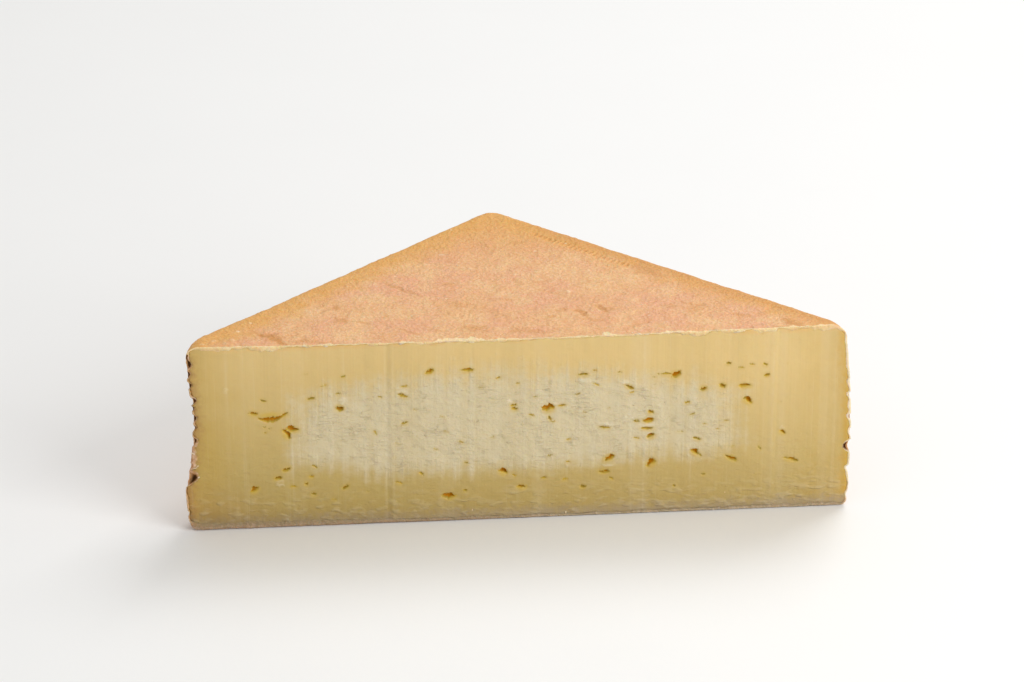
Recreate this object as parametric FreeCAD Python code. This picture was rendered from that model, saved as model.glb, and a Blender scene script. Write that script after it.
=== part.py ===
# Half of a square, washed-rind soft cheese, cut from corner to corner.
#
# The whole cheese is a low square block with rounded corners: its walls bow outwards, slump into
# a waist or a belly on the way up, and turn over soft rims into a dished top and a flat underside.
# A knife has halved it along a diagonal. The cut shows the small slits and pockets that the curd
# left when it knitted together, and the shallow steps where the knife was drawn again. The rind is
# pitted where the cut meets it, and the rack has left a row of short marks along one edge of the top.
#
# Frame: millimetres, +Z up, +X along the cut from its left end to its right end, +Y from the cut
# to the back corner. The origin is under the middle of the bounding box, on the surface that the
# cheese rests on.
import FreeCAD, Part
import math
import os
from dataclasses import dataclass

V = FreeCAD.Vector

# ---- The whole cheese --------------------------------------------------------------------------
DIAGONAL = 166.0        # from corner to corner, before the corners swell
CORNER_RADIUS = {"right": 9.0, "back": 6.0, "left": 14.0, "front": 10.0}    # seen from above
WALL_BOW = 0.6          # how far the middle of a wall stands out from its ends
THICKNESS = 50.5        # from the underside to the middle of the top, its lowest point
DISH = 0.9              # how far the top rises from its middle to a corner
TOP_RIM_RADIUS = 3.8    # rounding between the top and the walls
FOOT_RIM_RADIUS = 2.0   # rounding between the underside and the walls

# How far each corner stands out along its diagonal, at evenly spaced heights from foot to top.
SWELL = {
    "right": (1.9, 2.2, 2.3, 1.9, 1.0, -0.2),
    "back": (0.9, 0.6, -0.3, -0.5, 0.2, 0.4),
    "left": (0.2, 1.1, -0.4, -1.3, -0.3, 0.5),
    "front": (0.6, 0.4, 0.0, 0.2, 0.5, 0.2),
}
CORNER_BEARING = {"right": 0.0, "back": 90.0, "left": 180.0, "front": 270.0}

# ---- The knife's strokes: each one's share of the cut, and how deep it ran -------------------------
STROKE_ENDS = (0.305, 0.895)        # where one stroke gives way to the next, as shares of the length
STROKE_DEPTHS = (0.25, 0.0, 0.15)   # how far each stroke's face lies behind the foremost one


@dataclass(frozen=True)
class Slit:
    """A slit with pointed ends in the cut face, sized in millimetres.

    across and up are shares of the cut's length and of the cheese's thickness, so that a slit
    keeps its place in the paste when the cheese is made larger. tilt turns it anticlockwise.
    """
    across: float
    up: float
    length: float
    height: float
    tilt: float = 0.0


SLITS = (
    # the left end: a long curved slit with its two tips, and a forked pocket beside it
    Slit(0.110, 0.650, 3.2, 0.9, -8.0),
    Slit(0.134, 0.622, 5.6, 1.4, 3.0),
    Slit(0.153, 0.648, 2.8, 0.9, 32.0),
    Slit(0.170, 0.572, 4.6, 1.7, 8.0),
    Slit(0.163, 0.548, 4.0, 1.3, -58.0),
    Slit(0.240, 0.692, 2.8, 1.6, -10.0),
    Slit(0.167, 0.272, 2.8, 1.1, 22.0),
    Slit(0.156, 0.228, 2.4, 1.1, -2.0),
    Slit(0.113, 0.172, 3.4, 1.2, 38.0),
    # under the top, along the edge of the ripened paste
    Slit(0.372, 0.842, 3.4, 1.3, 28.0),
    Slit(0.428, 0.842, 4.4, 0.9, -3.0),
    Slit(0.598, 0.828, 4.2, 0.8, 0.0),
    Slit(0.655, 0.745, 3.2, 0.9, -28.0),
    Slit(0.732, 0.828, 6.4, 1.1, 4.0),
    Slit(0.744, 0.806, 3.2, 1.8, 38.0),
    # the middle
    Slit(0.546, 0.640, 4.0, 2.4, 12.0),
    Slit(0.545, 0.605, 2.2, 1.5, -70.0),
    Slit(0.498, 0.652, 1.9, 1.2, 0.0),
    Slit(0.697, 0.580, 4.2, 1.3, 4.0),
    Slit(0.703, 0.506, 2.8, 1.1, 14.0),
    # the right end
    Slit(0.838, 0.744, 4.0, 1.3, -2.0),
    Slit(0.841, 0.686, 3.8, 1.7, -38.0),
    Slit(0.788, 0.752, 2.2, 1.0, -8.0),
    Slit(0.912, 0.388, 4.4, 0.9, -16.0),
    # the lower band of ripened paste
    Slit(0.639, 0.372, 3.6, 1.6, 32.0),
    Slit(0.637, 0.282, 3.6, 1.1, -4.0),
    Slit(0.706, 0.336, 3.6, 1.6, 26.0),
    Slit(0.771, 0.394, 3.8, 1.6, -34.0),
    Slit(0.820, 0.376, 4.6, 1.4, -28.0),
    Slit(0.469, 0.280, 2.8, 1.9, -24.0),
    Slit(0.396, 0.152, 4.2, 1.8, -6.0),
    Slit(0.494, 0.188, 2.8, 1.0, -6.0),
)
SLIT_DEPTH = 0.9        # how deep a slit runs, as a share of its height


@dataclass(frozen=True)
class Pit:
    """A pit in the rind at one end of the cut, sized in millimetres up, along and into the rind."""
    end: str
    up: float
    height: float
    width: float
    depth: float


PITS = (
    Pit("left", 0.925, 3.0, 1.8, 1.0),
    Pit("left", 0.805, 1.8, 1.4, 0.8),
    Pit("left", 0.720, 1.6, 1.2, 0.7),
    Pit("left", 0.625, 2.2, 1.5, 0.7),
    Pit("left", 0.290, 3.6, 3.0, 1.6),
    Pit("right", 0.500, 1.8, 1.4, 0.6),
    Pit("right", 0.335, 3.2, 2.4, 1.5),
)

# ---- The row of marks that the rack left on the top, beside the wall from the back to the right -----
MARK_COUNT = 21
MARK_PITCH = 1.55       # from one mark to the next, along the wall
MARK_START = 7.0        # from the back corner's end of the wall to the first mark
MARK_INSET = 6.2        # from the wall to the middle of a mark
MARK_LENGTH = 3.6       # of the longest mark, square to the wall
MARK_WIDTH = 0.9
MARK_DEPTH = 0.22
MARK_FADE = 0.45        # how much shorter the first and last marks are, as a share

# ---- Values that follow from the ones above ---------------------------------------------------------
CUT_HALF = DIAGONAL / 2                                     # from the middle to the end of the cut
DISH_RADIUS = (CUT_HALF ** 2 + DISH ** 2) / (2 * DISH)      # of the dished top
BLOCK_HEIGHT = THICKNESS + 2 * DISH                         # before the top is dished
OVERRUN = 5.0           # how far a cutting tool reaches past what it cuts


@dataclass(frozen=True)
class Corner:
    """One upright corner at one height: the centre and the radius of its arc."""
    centre: FreeCAD.Vector
    radius: float


def corners_at(level):
    """The four corners at one of the heights in SWELL, anticlockwise."""
    corners = []
    for name, bearing in CORNER_BEARING.items():
        reach = CUT_HALF - CORNER_RADIUS[name] + SWELL[name][level]
        angle = math.radians(bearing)
        corners.append(Corner(V(reach * math.cos(angle), reach * math.sin(angle), 0), CORNER_RADIUS[name]))
    return corners


def wall_arc(first, second):
    """The centre and radius of the bowed wall between two corners, which touches both their arcs."""
    chord = second.centre - first.centre
    radius = (chord.Length ** 2 / 4 + WALL_BOW ** 2) / (2 * WALL_BOW) + (first.radius + second.radius) / 2
    to_first, to_second = radius - first.radius, radius - second.radius
    along = (to_first ** 2 - to_second ** 2 + chord.Length ** 2) / (2 * chord.Length)
    inwards = V(-chord.y, chord.x, 0).normalize()
    centre = first.centre + chord / chord.Length * along + inwards * math.sqrt(to_first ** 2 - along ** 2)
    return centre, radius


def arc_about(centre, start, end, radius):
    """An arc edge about a centre, from start to end, both on its circle, anticlockwise."""
    middle = ((start - centre) + (end - centre)).normalize() * radius + centre
    return Part.Arc(start, middle, end).toShape()


def outline(level, height):
    """The closed outline of the whole cheese at one height: four corners and four bowed walls."""
    corners = corners_at(level)
    count = len(corners)
    leaves, arrives = [], []
    walls = []
    for i, corner in enumerate(corners):
        following = corners[(i + 1) % count]
        centre, radius = wall_arc(corner, following)
        leaves.append(corner.centre + (corner.centre - centre).normalize() * corner.radius)
        arrives.append(following.centre + (following.centre - centre).normalize() * following.radius)
        walls.append(arc_about(centre, leaves[-1], arrives[-1], radius))
    edges = []
    for i, corner in enumerate(corners):
        edges.append(arc_about(corner.centre, arrives[i - 1], leaves[i], corner.radius))
        edges.append(walls[i])
    wire = Part.Wire(edges)
    wire.translate(V(0, 0, height))
    return wire


def ball(radius, centre, pole, seam):
    """A ball whose surface's poles and seam lie in the named directions from its centre."""
    sphere = Part.makeSphere(radius)
    turn = FreeCAD.Rotation(seam, pole.cross(seam), pole, "ZXY")
    sphere.Placement = FreeCAD.Placement(centre, turn)
    return sphere


def whole_block():
    """The block with its slumped walls, lofted from foot to top."""
    levels = len(SWELL["right"])
    rise = BLOCK_HEIGHT / (levels - 1)
    sections = [outline(level, level * rise) for level in range(levels)]
    return Part.makeLoft(sections, True, False)


def dished(block):
    """The block with its flat top hollowed into a wide, shallow dish."""
    return block.cut(ball(DISH_RADIUS, V(0, 0, THICKNESS + DISH_RADIUS), V(1, 0, 0), V(0, 0, 1)))


def stroke_bounds():
    """Each knife stroke's start, end and depth, from the left end of the cut to the right."""
    shares = (0.0, *STROKE_ENDS, 1.0)
    ends = [(2 * share - 1) * CUT_HALF for share in shares]
    ends[0] -= CUT_HALF
    ends[-1] += CUT_HALF
    return list(zip(ends, ends[1:], STROKE_DEPTHS))


def halved(block):
    """The half of the block behind the cut, one slice of waste for each stroke of the knife."""
    for start, end, depth in stroke_bounds():
        waste = Part.makeBox(
            end - start, 2 * CUT_HALF + depth, BLOCK_HEIGHT + 2 * OVERRUN,
            V(start, -2 * CUT_HALF, -OVERRUN))
        block = block.cut(waste)
    return block


def rim_edges(half, height, reach):
    """The outer edges near one height, from one end of the cut round the back to the other."""
    return [edge for edge in half.Edges
            if abs(edge.CenterOfMass.z - height) < reach and edge.BoundBox.YMax > OVERRUN / 2]


def with_soft_rims(half):
    """The half with its top and bottom rims rounded over."""
    half = half.makeFillet(TOP_RIM_RADIUS, rim_edges(half, THICKNESS + DISH, DISH))
    return half.makeFillet(FOOT_RIM_RADIUS, rim_edges(half, 0.0, FOOT_RIM_RADIUS))


def hollow(length, width, depth, place, along, inwards):
    """A lens-shaped space whose mouth lies in a surface, common to two balls.

    The mouth has pointed ends and is length by width, centred on place with its long way along.
    inwards points into the cheese, where the lens's sharp rim runs in an arc as deep as asked.
    The balls' poles and seams are kept off the lens.
    """
    half_length, half_width = length / 2, width / 2
    rim_radius = (half_length ** 2 + depth ** 2) / (2 * depth)
    apart = (half_length ** 2 - half_width ** 2) / (2 * half_width)
    ball_radius = math.hypot(rim_radius, apart)
    rim_centre = place + inwards * (depth - rim_radius)
    across = along.cross(inwards)
    above = ball(ball_radius, rim_centre + across * apart, along, across)
    below = ball(ball_radius, rim_centre - across * apart, along, -across)
    return above.common(below)


def slit_space(slit):
    """The space of one slit in the cut."""
    across = (2 * slit.across - 1) * CUT_HALF
    depth = next(d for start, end, d in stroke_bounds() if start <= across < end)
    tilt = math.radians(slit.tilt)
    return hollow(
        slit.length, slit.height, SLIT_DEPTH * slit.height,
        V(across, depth, slit.up * THICKNESS), V(math.cos(tilt), 0, math.sin(tilt)), V(0, 1, 0))


def cut_end(end, up):
    """How far one end of the cut stands out at a share of the height, between the set heights."""
    swell = SWELL[end]
    level = min(int(up * (len(swell) - 1)), len(swell) - 2)
    share = up * (len(swell) - 1) - level
    return CUT_HALF + swell[level] * (1 - share) + swell[level + 1] * share


def pit_space(pit):
    """The space of one pit, opened by the cut so that it notches the end of the face."""
    outwards = V(1, 0, 0) if pit.end == "right" else V(-1, 0, 0)
    place = outwards * cut_end(pit.end, pit.up) + V(0, 0, pit.up * THICKNESS)
    return hollow(pit.height, pit.width, pit.depth, place, V(0, 0, 1), -outwards)


def mark_spaces():
    """The spaces of the rack's marks, longest in the middle of the row."""
    right, back = corners_at(-1)[:2]
    along_wall = (right.centre - back.centre).normalize()
    outwards = V(-along_wall.y, along_wall.x, 0)
    wall_start = back.centre + outwards * (back.radius + WALL_BOW)
    spaces = []
    for i in range(MARK_COUNT):
        off_middle = abs(2 * i / (MARK_COUNT - 1) - 1)
        length = MARK_LENGTH * (1 - MARK_FADE * off_middle ** 2)
        place = wall_start + along_wall * (MARK_START + i * MARK_PITCH) - outwards * MARK_INSET
        drop = math.sqrt(DISH_RADIUS ** 2 - place.x ** 2 - place.y ** 2)
        place.z = THICKNESS + DISH_RADIUS - drop
        spaces.append(hollow(length, MARK_WIDTH, MARK_DEPTH, place, outwards, V(0, 0, -1)))
    return spaces


def with_hollows(half):
    """The half with its slits, its rind's pits and the rack's marks opened."""
    spaces = [slit_space(slit) for slit in SLITS]
    spaces += [pit_space(pit) for pit in PITS]
    spaces += mark_spaces()
    return half.cut(spaces)


def seated(half):
    """The half with the middle of its bounding box over the origin and its underside at zero."""
    box = half.optimalBoundingBox()
    half.translate(V(-box.Center.x, -box.Center.y, -box.ZMin))
    return half


def main():
    """Builds the solid and writes it."""
    half = halved(dished(whole_block())).Solids[0]
    half = seated(with_hollows(with_soft_rims(half)).Solids[0])
    os.makedirs("parts", exist_ok=True)
    half.exportStep("parts/half_cheese.step")


main()
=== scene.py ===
"""Half of a square washed-rind cheese, cut from corner to corner, and the studio that shows it.

The rind is a closed shell about a millimetre thick, torn and pitted where the knife went through it.
The paste fills the shell and shows at the cut, with its slits, tears, scuffs and the knife's steps.
Lengths are millimetres in the cheese's own frame, with x along the cut, y back from the cut and z up,
until Patchwork.mesh turns them into metres in the part's frame.
"""

import logging
import math
from collections.abc import Callable
from dataclasses import dataclass, field
from enum import Enum

import bmesh
import bpy
import numpy as np
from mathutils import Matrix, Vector
from mathutils.geometry import delaunay_2d_cdt


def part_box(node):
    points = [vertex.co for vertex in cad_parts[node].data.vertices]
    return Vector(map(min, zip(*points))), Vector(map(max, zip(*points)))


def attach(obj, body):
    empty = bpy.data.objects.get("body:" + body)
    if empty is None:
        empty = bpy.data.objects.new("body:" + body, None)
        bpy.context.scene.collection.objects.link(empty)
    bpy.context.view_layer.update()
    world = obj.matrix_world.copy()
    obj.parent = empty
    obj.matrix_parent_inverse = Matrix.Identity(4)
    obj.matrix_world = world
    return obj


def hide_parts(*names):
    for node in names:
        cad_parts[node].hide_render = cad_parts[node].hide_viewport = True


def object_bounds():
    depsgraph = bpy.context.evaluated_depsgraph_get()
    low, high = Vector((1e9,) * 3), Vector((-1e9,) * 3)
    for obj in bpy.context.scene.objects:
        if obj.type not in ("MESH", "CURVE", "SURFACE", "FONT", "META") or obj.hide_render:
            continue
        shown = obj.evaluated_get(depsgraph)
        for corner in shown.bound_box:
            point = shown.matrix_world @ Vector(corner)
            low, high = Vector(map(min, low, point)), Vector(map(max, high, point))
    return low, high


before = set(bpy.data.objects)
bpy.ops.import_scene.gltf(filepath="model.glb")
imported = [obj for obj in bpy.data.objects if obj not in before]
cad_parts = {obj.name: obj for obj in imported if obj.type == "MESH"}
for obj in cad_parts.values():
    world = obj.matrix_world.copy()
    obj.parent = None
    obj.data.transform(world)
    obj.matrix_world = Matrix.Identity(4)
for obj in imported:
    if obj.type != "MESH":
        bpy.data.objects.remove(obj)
cad_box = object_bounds()

Array = np.ndarray
Thing, Material = bpy.types.Object, bpy.types.Material
Tree, Node, Socket = bpy.types.NodeTree, bpy.types.Node, bpy.types.NodeSocket

NODE, BODY = "half_cheese", "root"
TOP_SIDE = 40.0                 # stains and creases of the top lie above this height
MM = 0.001
TO_MM = (1 / MM,) * 3           # from metres to millimetres along x, y and z
EDGE = 0.01 * MM                # how far inside the part's box everything stays
LOG = logging.getLogger("half_cheese")


class Slot(Enum):
    """The record's material slots."""
    PASTE = "paste"
    RIND = "rind"


class End(Enum):
    """The two ends of the cut, by the way that they point along x."""
    LEFT = -1.0
    RIGHT = 1.0


# ---- Small mathematics ----


def smooth(low: float, high: float, value: Array) -> Array:
    """A soft step.

    Args:
        low: where the step starts to rise from 0.
        high: where it reaches 1.
        value: the values to look up.

    Returns:
        The height of the step at each value.
    """
    share = np.clip((value - low) / (high - low), 0.0, 1.0)
    return share * share * (3.0 - 2.0 * share)


def wander(value: Array, pitch: float, seed: int) -> Array:
    """A soft, uneven wave.

    Args:
        value: places along the wave.
        pitch: the distance between its knots.
        seed: which wave.

    Returns:
        The wave's height at each place, from -1 to 1.
    """
    knots = np.random.default_rng(seed).uniform(-1.0, 1.0, 512)
    place = np.asarray(value, float) / pitch + 256.0
    before = np.floor(place).astype(int)
    share = place - before
    share = share * share * (3.0 - 2.0 * share)
    return knots[before % 512] * (1.0 - share) + knots[(before + 1) % 512] * share


def curve_through(values: tuple[float, ...], share: Array) -> Array:
    """A smooth curve through evenly spaced values.

    Args:
        values: the values, from share 0 to share 1.
        share: where to read the curve.

    Returns:
        The curve's value at each share.
    """
    known = np.asarray(values)
    padded = np.concatenate([[2 * known[0] - known[1]], known, [2 * known[-1] - known[-2]]])
    place = np.clip(share, 0.0, 1.0) * (len(known) - 1)
    i = np.minimum(place.astype(int), len(known) - 2)
    t = place - i
    a, b, c, d = (padded[i + k] for k in range(4))
    return b + 0.5 * t * (c - a + t * (2 * a - 5 * b + 4 * c - d + t * (3 * (b - c) + d - a)))


def turned(points: Array, middle: object, degrees: float) -> tuple[Array, Array]:
    """How far points lie from a middle, along a turned line and across it.

    Args:
        points: the points, one row each.
        middle: the two coordinates of the middle.
        degrees: how far the line is turned.

    Returns:
        The distance along the line and the distance across it.
    """
    turn, offset = math.radians(degrees), points[:, :2] - np.array(middle)
    return (offset[:, 0] * math.cos(turn) + offset[:, 1] * math.sin(turn),
            offset[:, 1] * math.cos(turn) - offset[:, 0] * math.sin(turn))


def inside(outline: Array, points: Array) -> Array:
    """Which points lie inside a closed outline.

    Args:
        outline: the outline's corners, one row each.
        points: the points to test, one row each.

    Returns:
        True for each point inside.
    """
    found = np.zeros(len(points), bool)
    for (x0, y0), (x1, y1) in zip(outline, np.roll(outline, -1, axis=0)):
        if y0 != y1:
            crosses = (points[:, 1] < y0) != (points[:, 1] < y1)
            found ^= crosses & (points[:, 0] < x0 + (points[:, 1] - y0) * (x1 - x0) / (y1 - y0))
    return found


def clear_of(places: Array, points: Array, distance: float) -> Array:
    """Which points keep a distance from a set of places.

    Args:
        places: the places to keep away from, one row each.
        points: the points to test, one row each.
        distance: how far away a point has to be.

    Returns:
        True for each point that is far enough from every place.
    """
    cells: dict[tuple[int, int], list[int]] = {}
    for i, key in enumerate(map(tuple, np.floor(places / distance).astype(int))):
        cells.setdefault(key, []).append(i)
    keep = np.ones(len(points), bool)
    for i, key in enumerate(np.floor(points / distance).astype(int)):
        near = [k for dx in (-1, 0, 1) for dy in (-1, 0, 1) for k in cells.get((key[0] + dx, key[1] + dy), ())]
        if near:
            keep[i] = np.min(np.hypot(*(places[near] - points[i]).T)) >= distance
    return keep


def lattice(low: Array, high: Array, spacing: float) -> Array:
    """Evenly spaced points in rows that step sideways by half a space.

    Args:
        low: the lowest corner of the region.
        high: its highest corner.
        spacing: the distance between neighbours.

    Returns:
        The points, one row each.
    """
    rise = spacing * math.sqrt(3) / 2
    rows = np.arange(low[1], high[1], rise)
    columns = np.arange(low[0], high[0], spacing)
    x, y = np.meshgrid(columns, rows)
    x = x + (np.arange(len(rows)) % 2)[:, None] * spacing / 2
    return np.stack([x.ravel(), y.ravel()], axis=1)


# ---- Meshes ----


class Patchwork:
    """Points and faces gathered patch by patch, with a few numbers kept for each point."""

    def __init__(self, *marks: str) -> None:
        """Starts empty.

        Args:
            marks: the names of the numbers that each point keeps.
        """
        self.points = np.zeros((0, 3))
        self.faces: list[tuple[int, ...]] = []
        self.marks = {name: np.zeros(0) for name in marks}

    def place(self, points: Array, **marks: float | Array) -> Array:
        """Adds points.

        Args:
            points: the points, with x, y and z along the last axis.
            marks: the numbers that they keep. One that isn't given is 0.

        Returns:
            The points' numbers in the patchwork, in the shape of the points.
        """
        shape = points.shape[:-1]
        count = int(np.prod(shape))
        ids = np.arange(len(self.points), len(self.points) + count).reshape(shape)
        self.points = np.concatenate([self.points, points.reshape(-1, 3)])
        for name, kept in self.marks.items():
            new = np.broadcast_to(marks.get(name, 0.0), shape).reshape(-1)
            self.marks[name] = np.concatenate([kept, new])
        return ids

    def weave(self, ids: Array) -> None:
        """Joins a grid of points, rows by columns, with four-sided faces."""
        a, b, c, d = ids[:-1, :-1], ids[:-1, 1:], ids[1:, 1:], ids[1:, :-1]
        self.faces += [tuple(face) for face in np.stack([a, b, c, d], axis=-1).reshape(-1, 4).tolist()]

    def fill(self, ids: Array, flat: Array, border: int) -> None:
        """Joins points that lie in a flat region with triangles.

        Args:
            ids: the points' numbers in the patchwork, the closed border first, in order.
            flat: the same points in the region's own two directions.
            border: how many of them are the border.
        """
        edges = [(i, (i + 1) % border) for i in range(border)]
        made = delaunay_2d_cdt([Vector(p) for p in flat.tolist()], edges, [], 1, 1e-7)
        source = [ids[origin[0]] for origin in made[3]]
        self.faces += [tuple(int(source[i]) for i in face) for face in made[2]]

    def zip(self, first: Array, second: Array) -> None:
        """Joins two closed loops that run side by side, whatever their numbers of points.

        Args:
            first: the numbers of one loop's points, in order.
            second: the other loop's.
        """
        loops, travels = [], []
        for loop in (first, second):
            closed = np.concatenate([loop, loop[:1]])
            steps = np.linalg.norm(np.diff(self.points[closed], axis=0), axis=1)
            loops.append(closed)
            travels.append(np.concatenate([[0.0], np.cumsum(steps)]) / steps.sum())
        i = j = 0
        while i < len(first) or j < len(second):
            ahead = j == len(second) or (i < len(first) and travels[0][i + 1] <= travels[1][j + 1])
            third = loops[0][i + 1] if ahead else loops[1][j + 1]
            self.faces.append((int(loops[0][i]), int(third), int(loops[1][j])))
            i, j = (i + 1, j) if ahead else (i, j + 1)

    def mesh(self, name: str, origin: Array) -> Thing:
        """Makes the object, in metres in the part's frame.

        Args:
            name: the object's name.
            origin: where the cheese's own frame stands in the part's frame, in millimetres.

        Returns:
            The object, linked to the scene, with its faces turned outwards.
        """
        data = bpy.data.meshes.new(name)
        data.from_pydata(((self.points + origin) * MM).tolist(), [], self.faces)
        for mark, values in self.marks.items():
            kept = data.attributes.new(mark, "FLOAT", "POINT")
            kept.data.foreach_set("value", values.astype(np.float32))
        work = bmesh.new()
        work.from_mesh(data)
        bmesh.ops.recalc_face_normals(work, faces=work.faces)
        work.to_mesh(data)
        work.free()
        data.shade_smooth()
        return link(bpy.data.objects.new(name, data))


def link(thing: Thing) -> Thing:
    """Puts an object in the scene and hands it back."""
    bpy.context.scene.collection.objects.link(thing)
    return thing


# ---- Node trees ----


class Wire:
    """A number, a vector or a colour on its way from one node to the next."""

    def __init__(self, wiring: "Wiring", socket: Socket) -> None:
        """Holds one output of a node."""
        self.wiring, self.socket = wiring, socket

    def sum(self, operation: str, *others: object) -> "Wire":
        """One sum that starts with this value, such as MULTIPLY."""
        kind = "ShaderNodeMath" if self.socket.type == "VALUE" else "ShaderNodeVectorMath"
        return self.wiring.put(kind, dict(enumerate((self, *others))), operation=operation)

    def __add__(self, other: object) -> "Wire":
        """This value and another."""
        return self.sum("ADD", other)

    def __sub__(self, other: object) -> "Wire":
        """This value less another."""
        return self.sum("SUBTRACT", other)

    def __mul__(self, other: object) -> "Wire":
        """This value times another."""
        return self.sum("MULTIPLY", other)

    def __truediv__(self, other: object) -> "Wire":
        """This value over another."""
        return self.sum("DIVIDE", other)

    def line(self, low: object, high: object, start: object = 0.0, end: object = 1.0, **settings: object) -> "Wire":
        """A straight ramp from start to end as this value goes from low to high."""
        inputs = {"Value": self, "From Min": low, "From Max": high, "To Min": start, "To Max": end}
        return self.wiring.put("ShaderNodeMapRange", inputs, **settings)

    def step(self, *limits: object) -> "Wire":
        """The same ramp with soft ends."""
        return self.line(*limits, interpolation_type="SMOOTHSTEP")

    def noise(self, scale: object, detail: float = 2.0, rough: float = 0.5, warp: float = 0.0) -> "Wire":
        """Cloudy noise around one half at this place, so many times to a millimetre."""
        inputs = {"Vector": self, "Scale": scale, "Detail": detail, "Roughness": rough, "Distortion": warp}
        return self.wiring.put("ShaderNodeTexNoise", inputs)

    def times(self, scale: object) -> "Wire":
        """This vector, longer by one number."""
        return self.wiring.put("ShaderNodeVectorMath", {0: self, "Scale": scale}, operation="SCALE")

    def axes(self) -> "list[Wire]":
        """This vector's x, y and z."""
        node = self.wiring.add("ShaderNodeSeparateXYZ", {0: self})
        return [Wire(self.wiring, socket) for socket in node.outputs]

    def over(self, share: object, tone: object) -> "Wire":
        """This colour with a share of a tone laid over it."""
        return self.wiring.mix(share, self, tone)


class Wiring:
    """Places nodes in one tree and joins them as they are asked for."""

    def __init__(self, tree: Tree) -> None:
        """Starts on a tree."""
        self.tree = tree

    def fill(self, node: Node, inputs: dict) -> None:
        """Gives a node's sockets, by name or number, what they take: a wire or a plain value.

        Args:
            node: the node.
            inputs: what each of its sockets takes.
        """
        for key, value in inputs.items():
            if isinstance(value, Wire):
                self.tree.links.new(value.socket, node.inputs[key])
            else:
                node.inputs[key].default_value = value

    def add(self, kind: str, inputs: dict | None = None, **settings: object) -> Node:
        """Adds one node.

        Args:
            kind: the node's type.
            inputs: what its sockets get, by name or number.
            settings: the node's own settings.

        Returns:
            The node.
        """
        node = self.tree.nodes.new(kind)
        for name, value in settings.items():
            setattr(node, name, value)
        self.fill(node, inputs or {})
        return node

    def put(self, kind: str, inputs: dict | None = None, output: int | str = 0, **settings: object) -> Wire:
        """Adds one node and hands back one of its outputs."""
        return Wire(self, self.add(kind, inputs, **settings).outputs[output])

    def mix(self, share: object, first: object, second: object) -> Wire:
        """One colour over another."""
        return self.put("ShaderNodeMix", {0: share, 6: first, 7: second}, 2, data_type="RGBA")

    def kept(self, name: str) -> Wire:
        """The number that each point of the mesh keeps under a name, in a material."""
        return self.put("ShaderNodeAttribute", None, "Fac", attribute_name=name)

    def field(self, name: object) -> Wire:
        """The number that each point of the mesh keeps under a name, in Geometry Nodes."""
        return self.put("GeometryNodeInputNamedAttribute", {"Name": name}, data_type="FLOAT")


def open_tree(name: str, kind: str, inputs: dict[str, object], outputs: dict[str, str]
              ) -> tuple[Wiring, dict[str, Wire], Node]:
    """Starts a node group with named sockets.

    Args:
        name: the group's name.
        kind: ShaderNodeTree or GeometryNodeTree.
        inputs: each input's usual value, or the type of one that has none.
        outputs: each output's type.

    Returns:
        The wiring, what each input brings in, and the node that takes the outputs.
    """
    tree = bpy.data.node_groups.new(name, kind)
    for label, value in inputs.items():
        plain = {float: "Float", int: "Int", tuple: "Color"}.get(type(value))
        made = tree.interface.new_socket(name=label, in_out="INPUT", socket_type=f"NodeSocket{plain or value}")
        if plain:
            made.default_value = value
    for label, socket in outputs.items():
        tree.interface.new_socket(name=label, in_out="OUTPUT", socket_type=f"NodeSocket{socket}")
    wiring = Wiring(tree)
    brought = wiring.add("NodeGroupInput").outputs
    return wiring, {label: Wire(wiring, brought[label]) for label in inputs}, wiring.add("NodeGroupOutput")


def open_shaping(name: str, inputs: dict[str, object]) -> tuple[Wiring, dict[str, Wire], Node]:
    """Starts a Geometry Nodes group, with the limits that hold its result in and its finish.

    Args:
        name: the group's name.
        inputs: its own inputs, as open_tree takes them.

    Returns:
        What open_tree returns.
    """
    return open_tree(name, "GeometryNodeTree", {
        "Geometry": "Geometry", **inputs, "Front": -1.0, "Top": 1.0, "Finish": "Material"},
        {"Geometry": "Geometry"})


def close_shaping(wiring: Wiring, geometry: Wire, given: dict[str, Wire], taken: Node) -> Tree:
    """Ends a Geometry Nodes group: instances made real, held in behind the cut and under the top, and dressed.

    Args:
        wiring: the group's wiring.
        geometry: what it has shaped.
        given: what its inputs bring in.
        taken: the node that takes its outputs.

    Returns:
        The group.
    """
    real = wiring.put("GeometryNodeRealizeInstances", {"Geometry": geometry})
    x, y, z = wiring.put("GeometryNodeInputPosition").axes()
    place = wiring.put("ShaderNodeCombineXYZ", {
        0: x, 1: y.sum("MAXIMUM", given["Front"]), 2: z.sum("MINIMUM", given["Top"])})
    held = wiring.put("GeometryNodeSetPosition", {"Geometry": real, "Position": place})
    wiring.fill(taken, {"Geometry": wiring.put("GeometryNodeSetMaterial", {
        "Geometry": held, "Material": given["Finish"]})})
    return wiring.tree


def grown(piece: Thing, tree: Tree, sizes: dict[str, object]) -> Thing:
    """Runs a Geometry Nodes tree on a piece and keeps the result as its plain mesh.

    Args:
        piece: the object that the tree starts from.
        tree: the tree.
        sizes: the values of the tree's named inputs.

    Returns:
        The same object with the tree's result for its mesh.
    """
    modifier = piece.modifiers.new(tree.name, "NODES")
    modifier.node_group = tree
    sizes = {"Front": cad_box[0][1] + EDGE, "Top": cad_box[1][2] - EDGE} | sizes
    for item in tree.interface.items_tree:
        if item.item_type == "SOCKET" and item.in_out == "INPUT" and item.name in sizes:
            modifier[item.identifier] = sizes[item.name]
    graph = bpy.context.evaluated_depsgraph_get()
    result = bpy.data.meshes.new_from_object(piece.evaluated_get(graph), preserve_all_data_layers=True,
                                             depsgraph=graph)
    piece.modifiers.clear()
    piece.data = result
    result.name = piece.name
    result.shade_smooth()
    return piece


# ---- The form of the cheese ----


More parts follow.
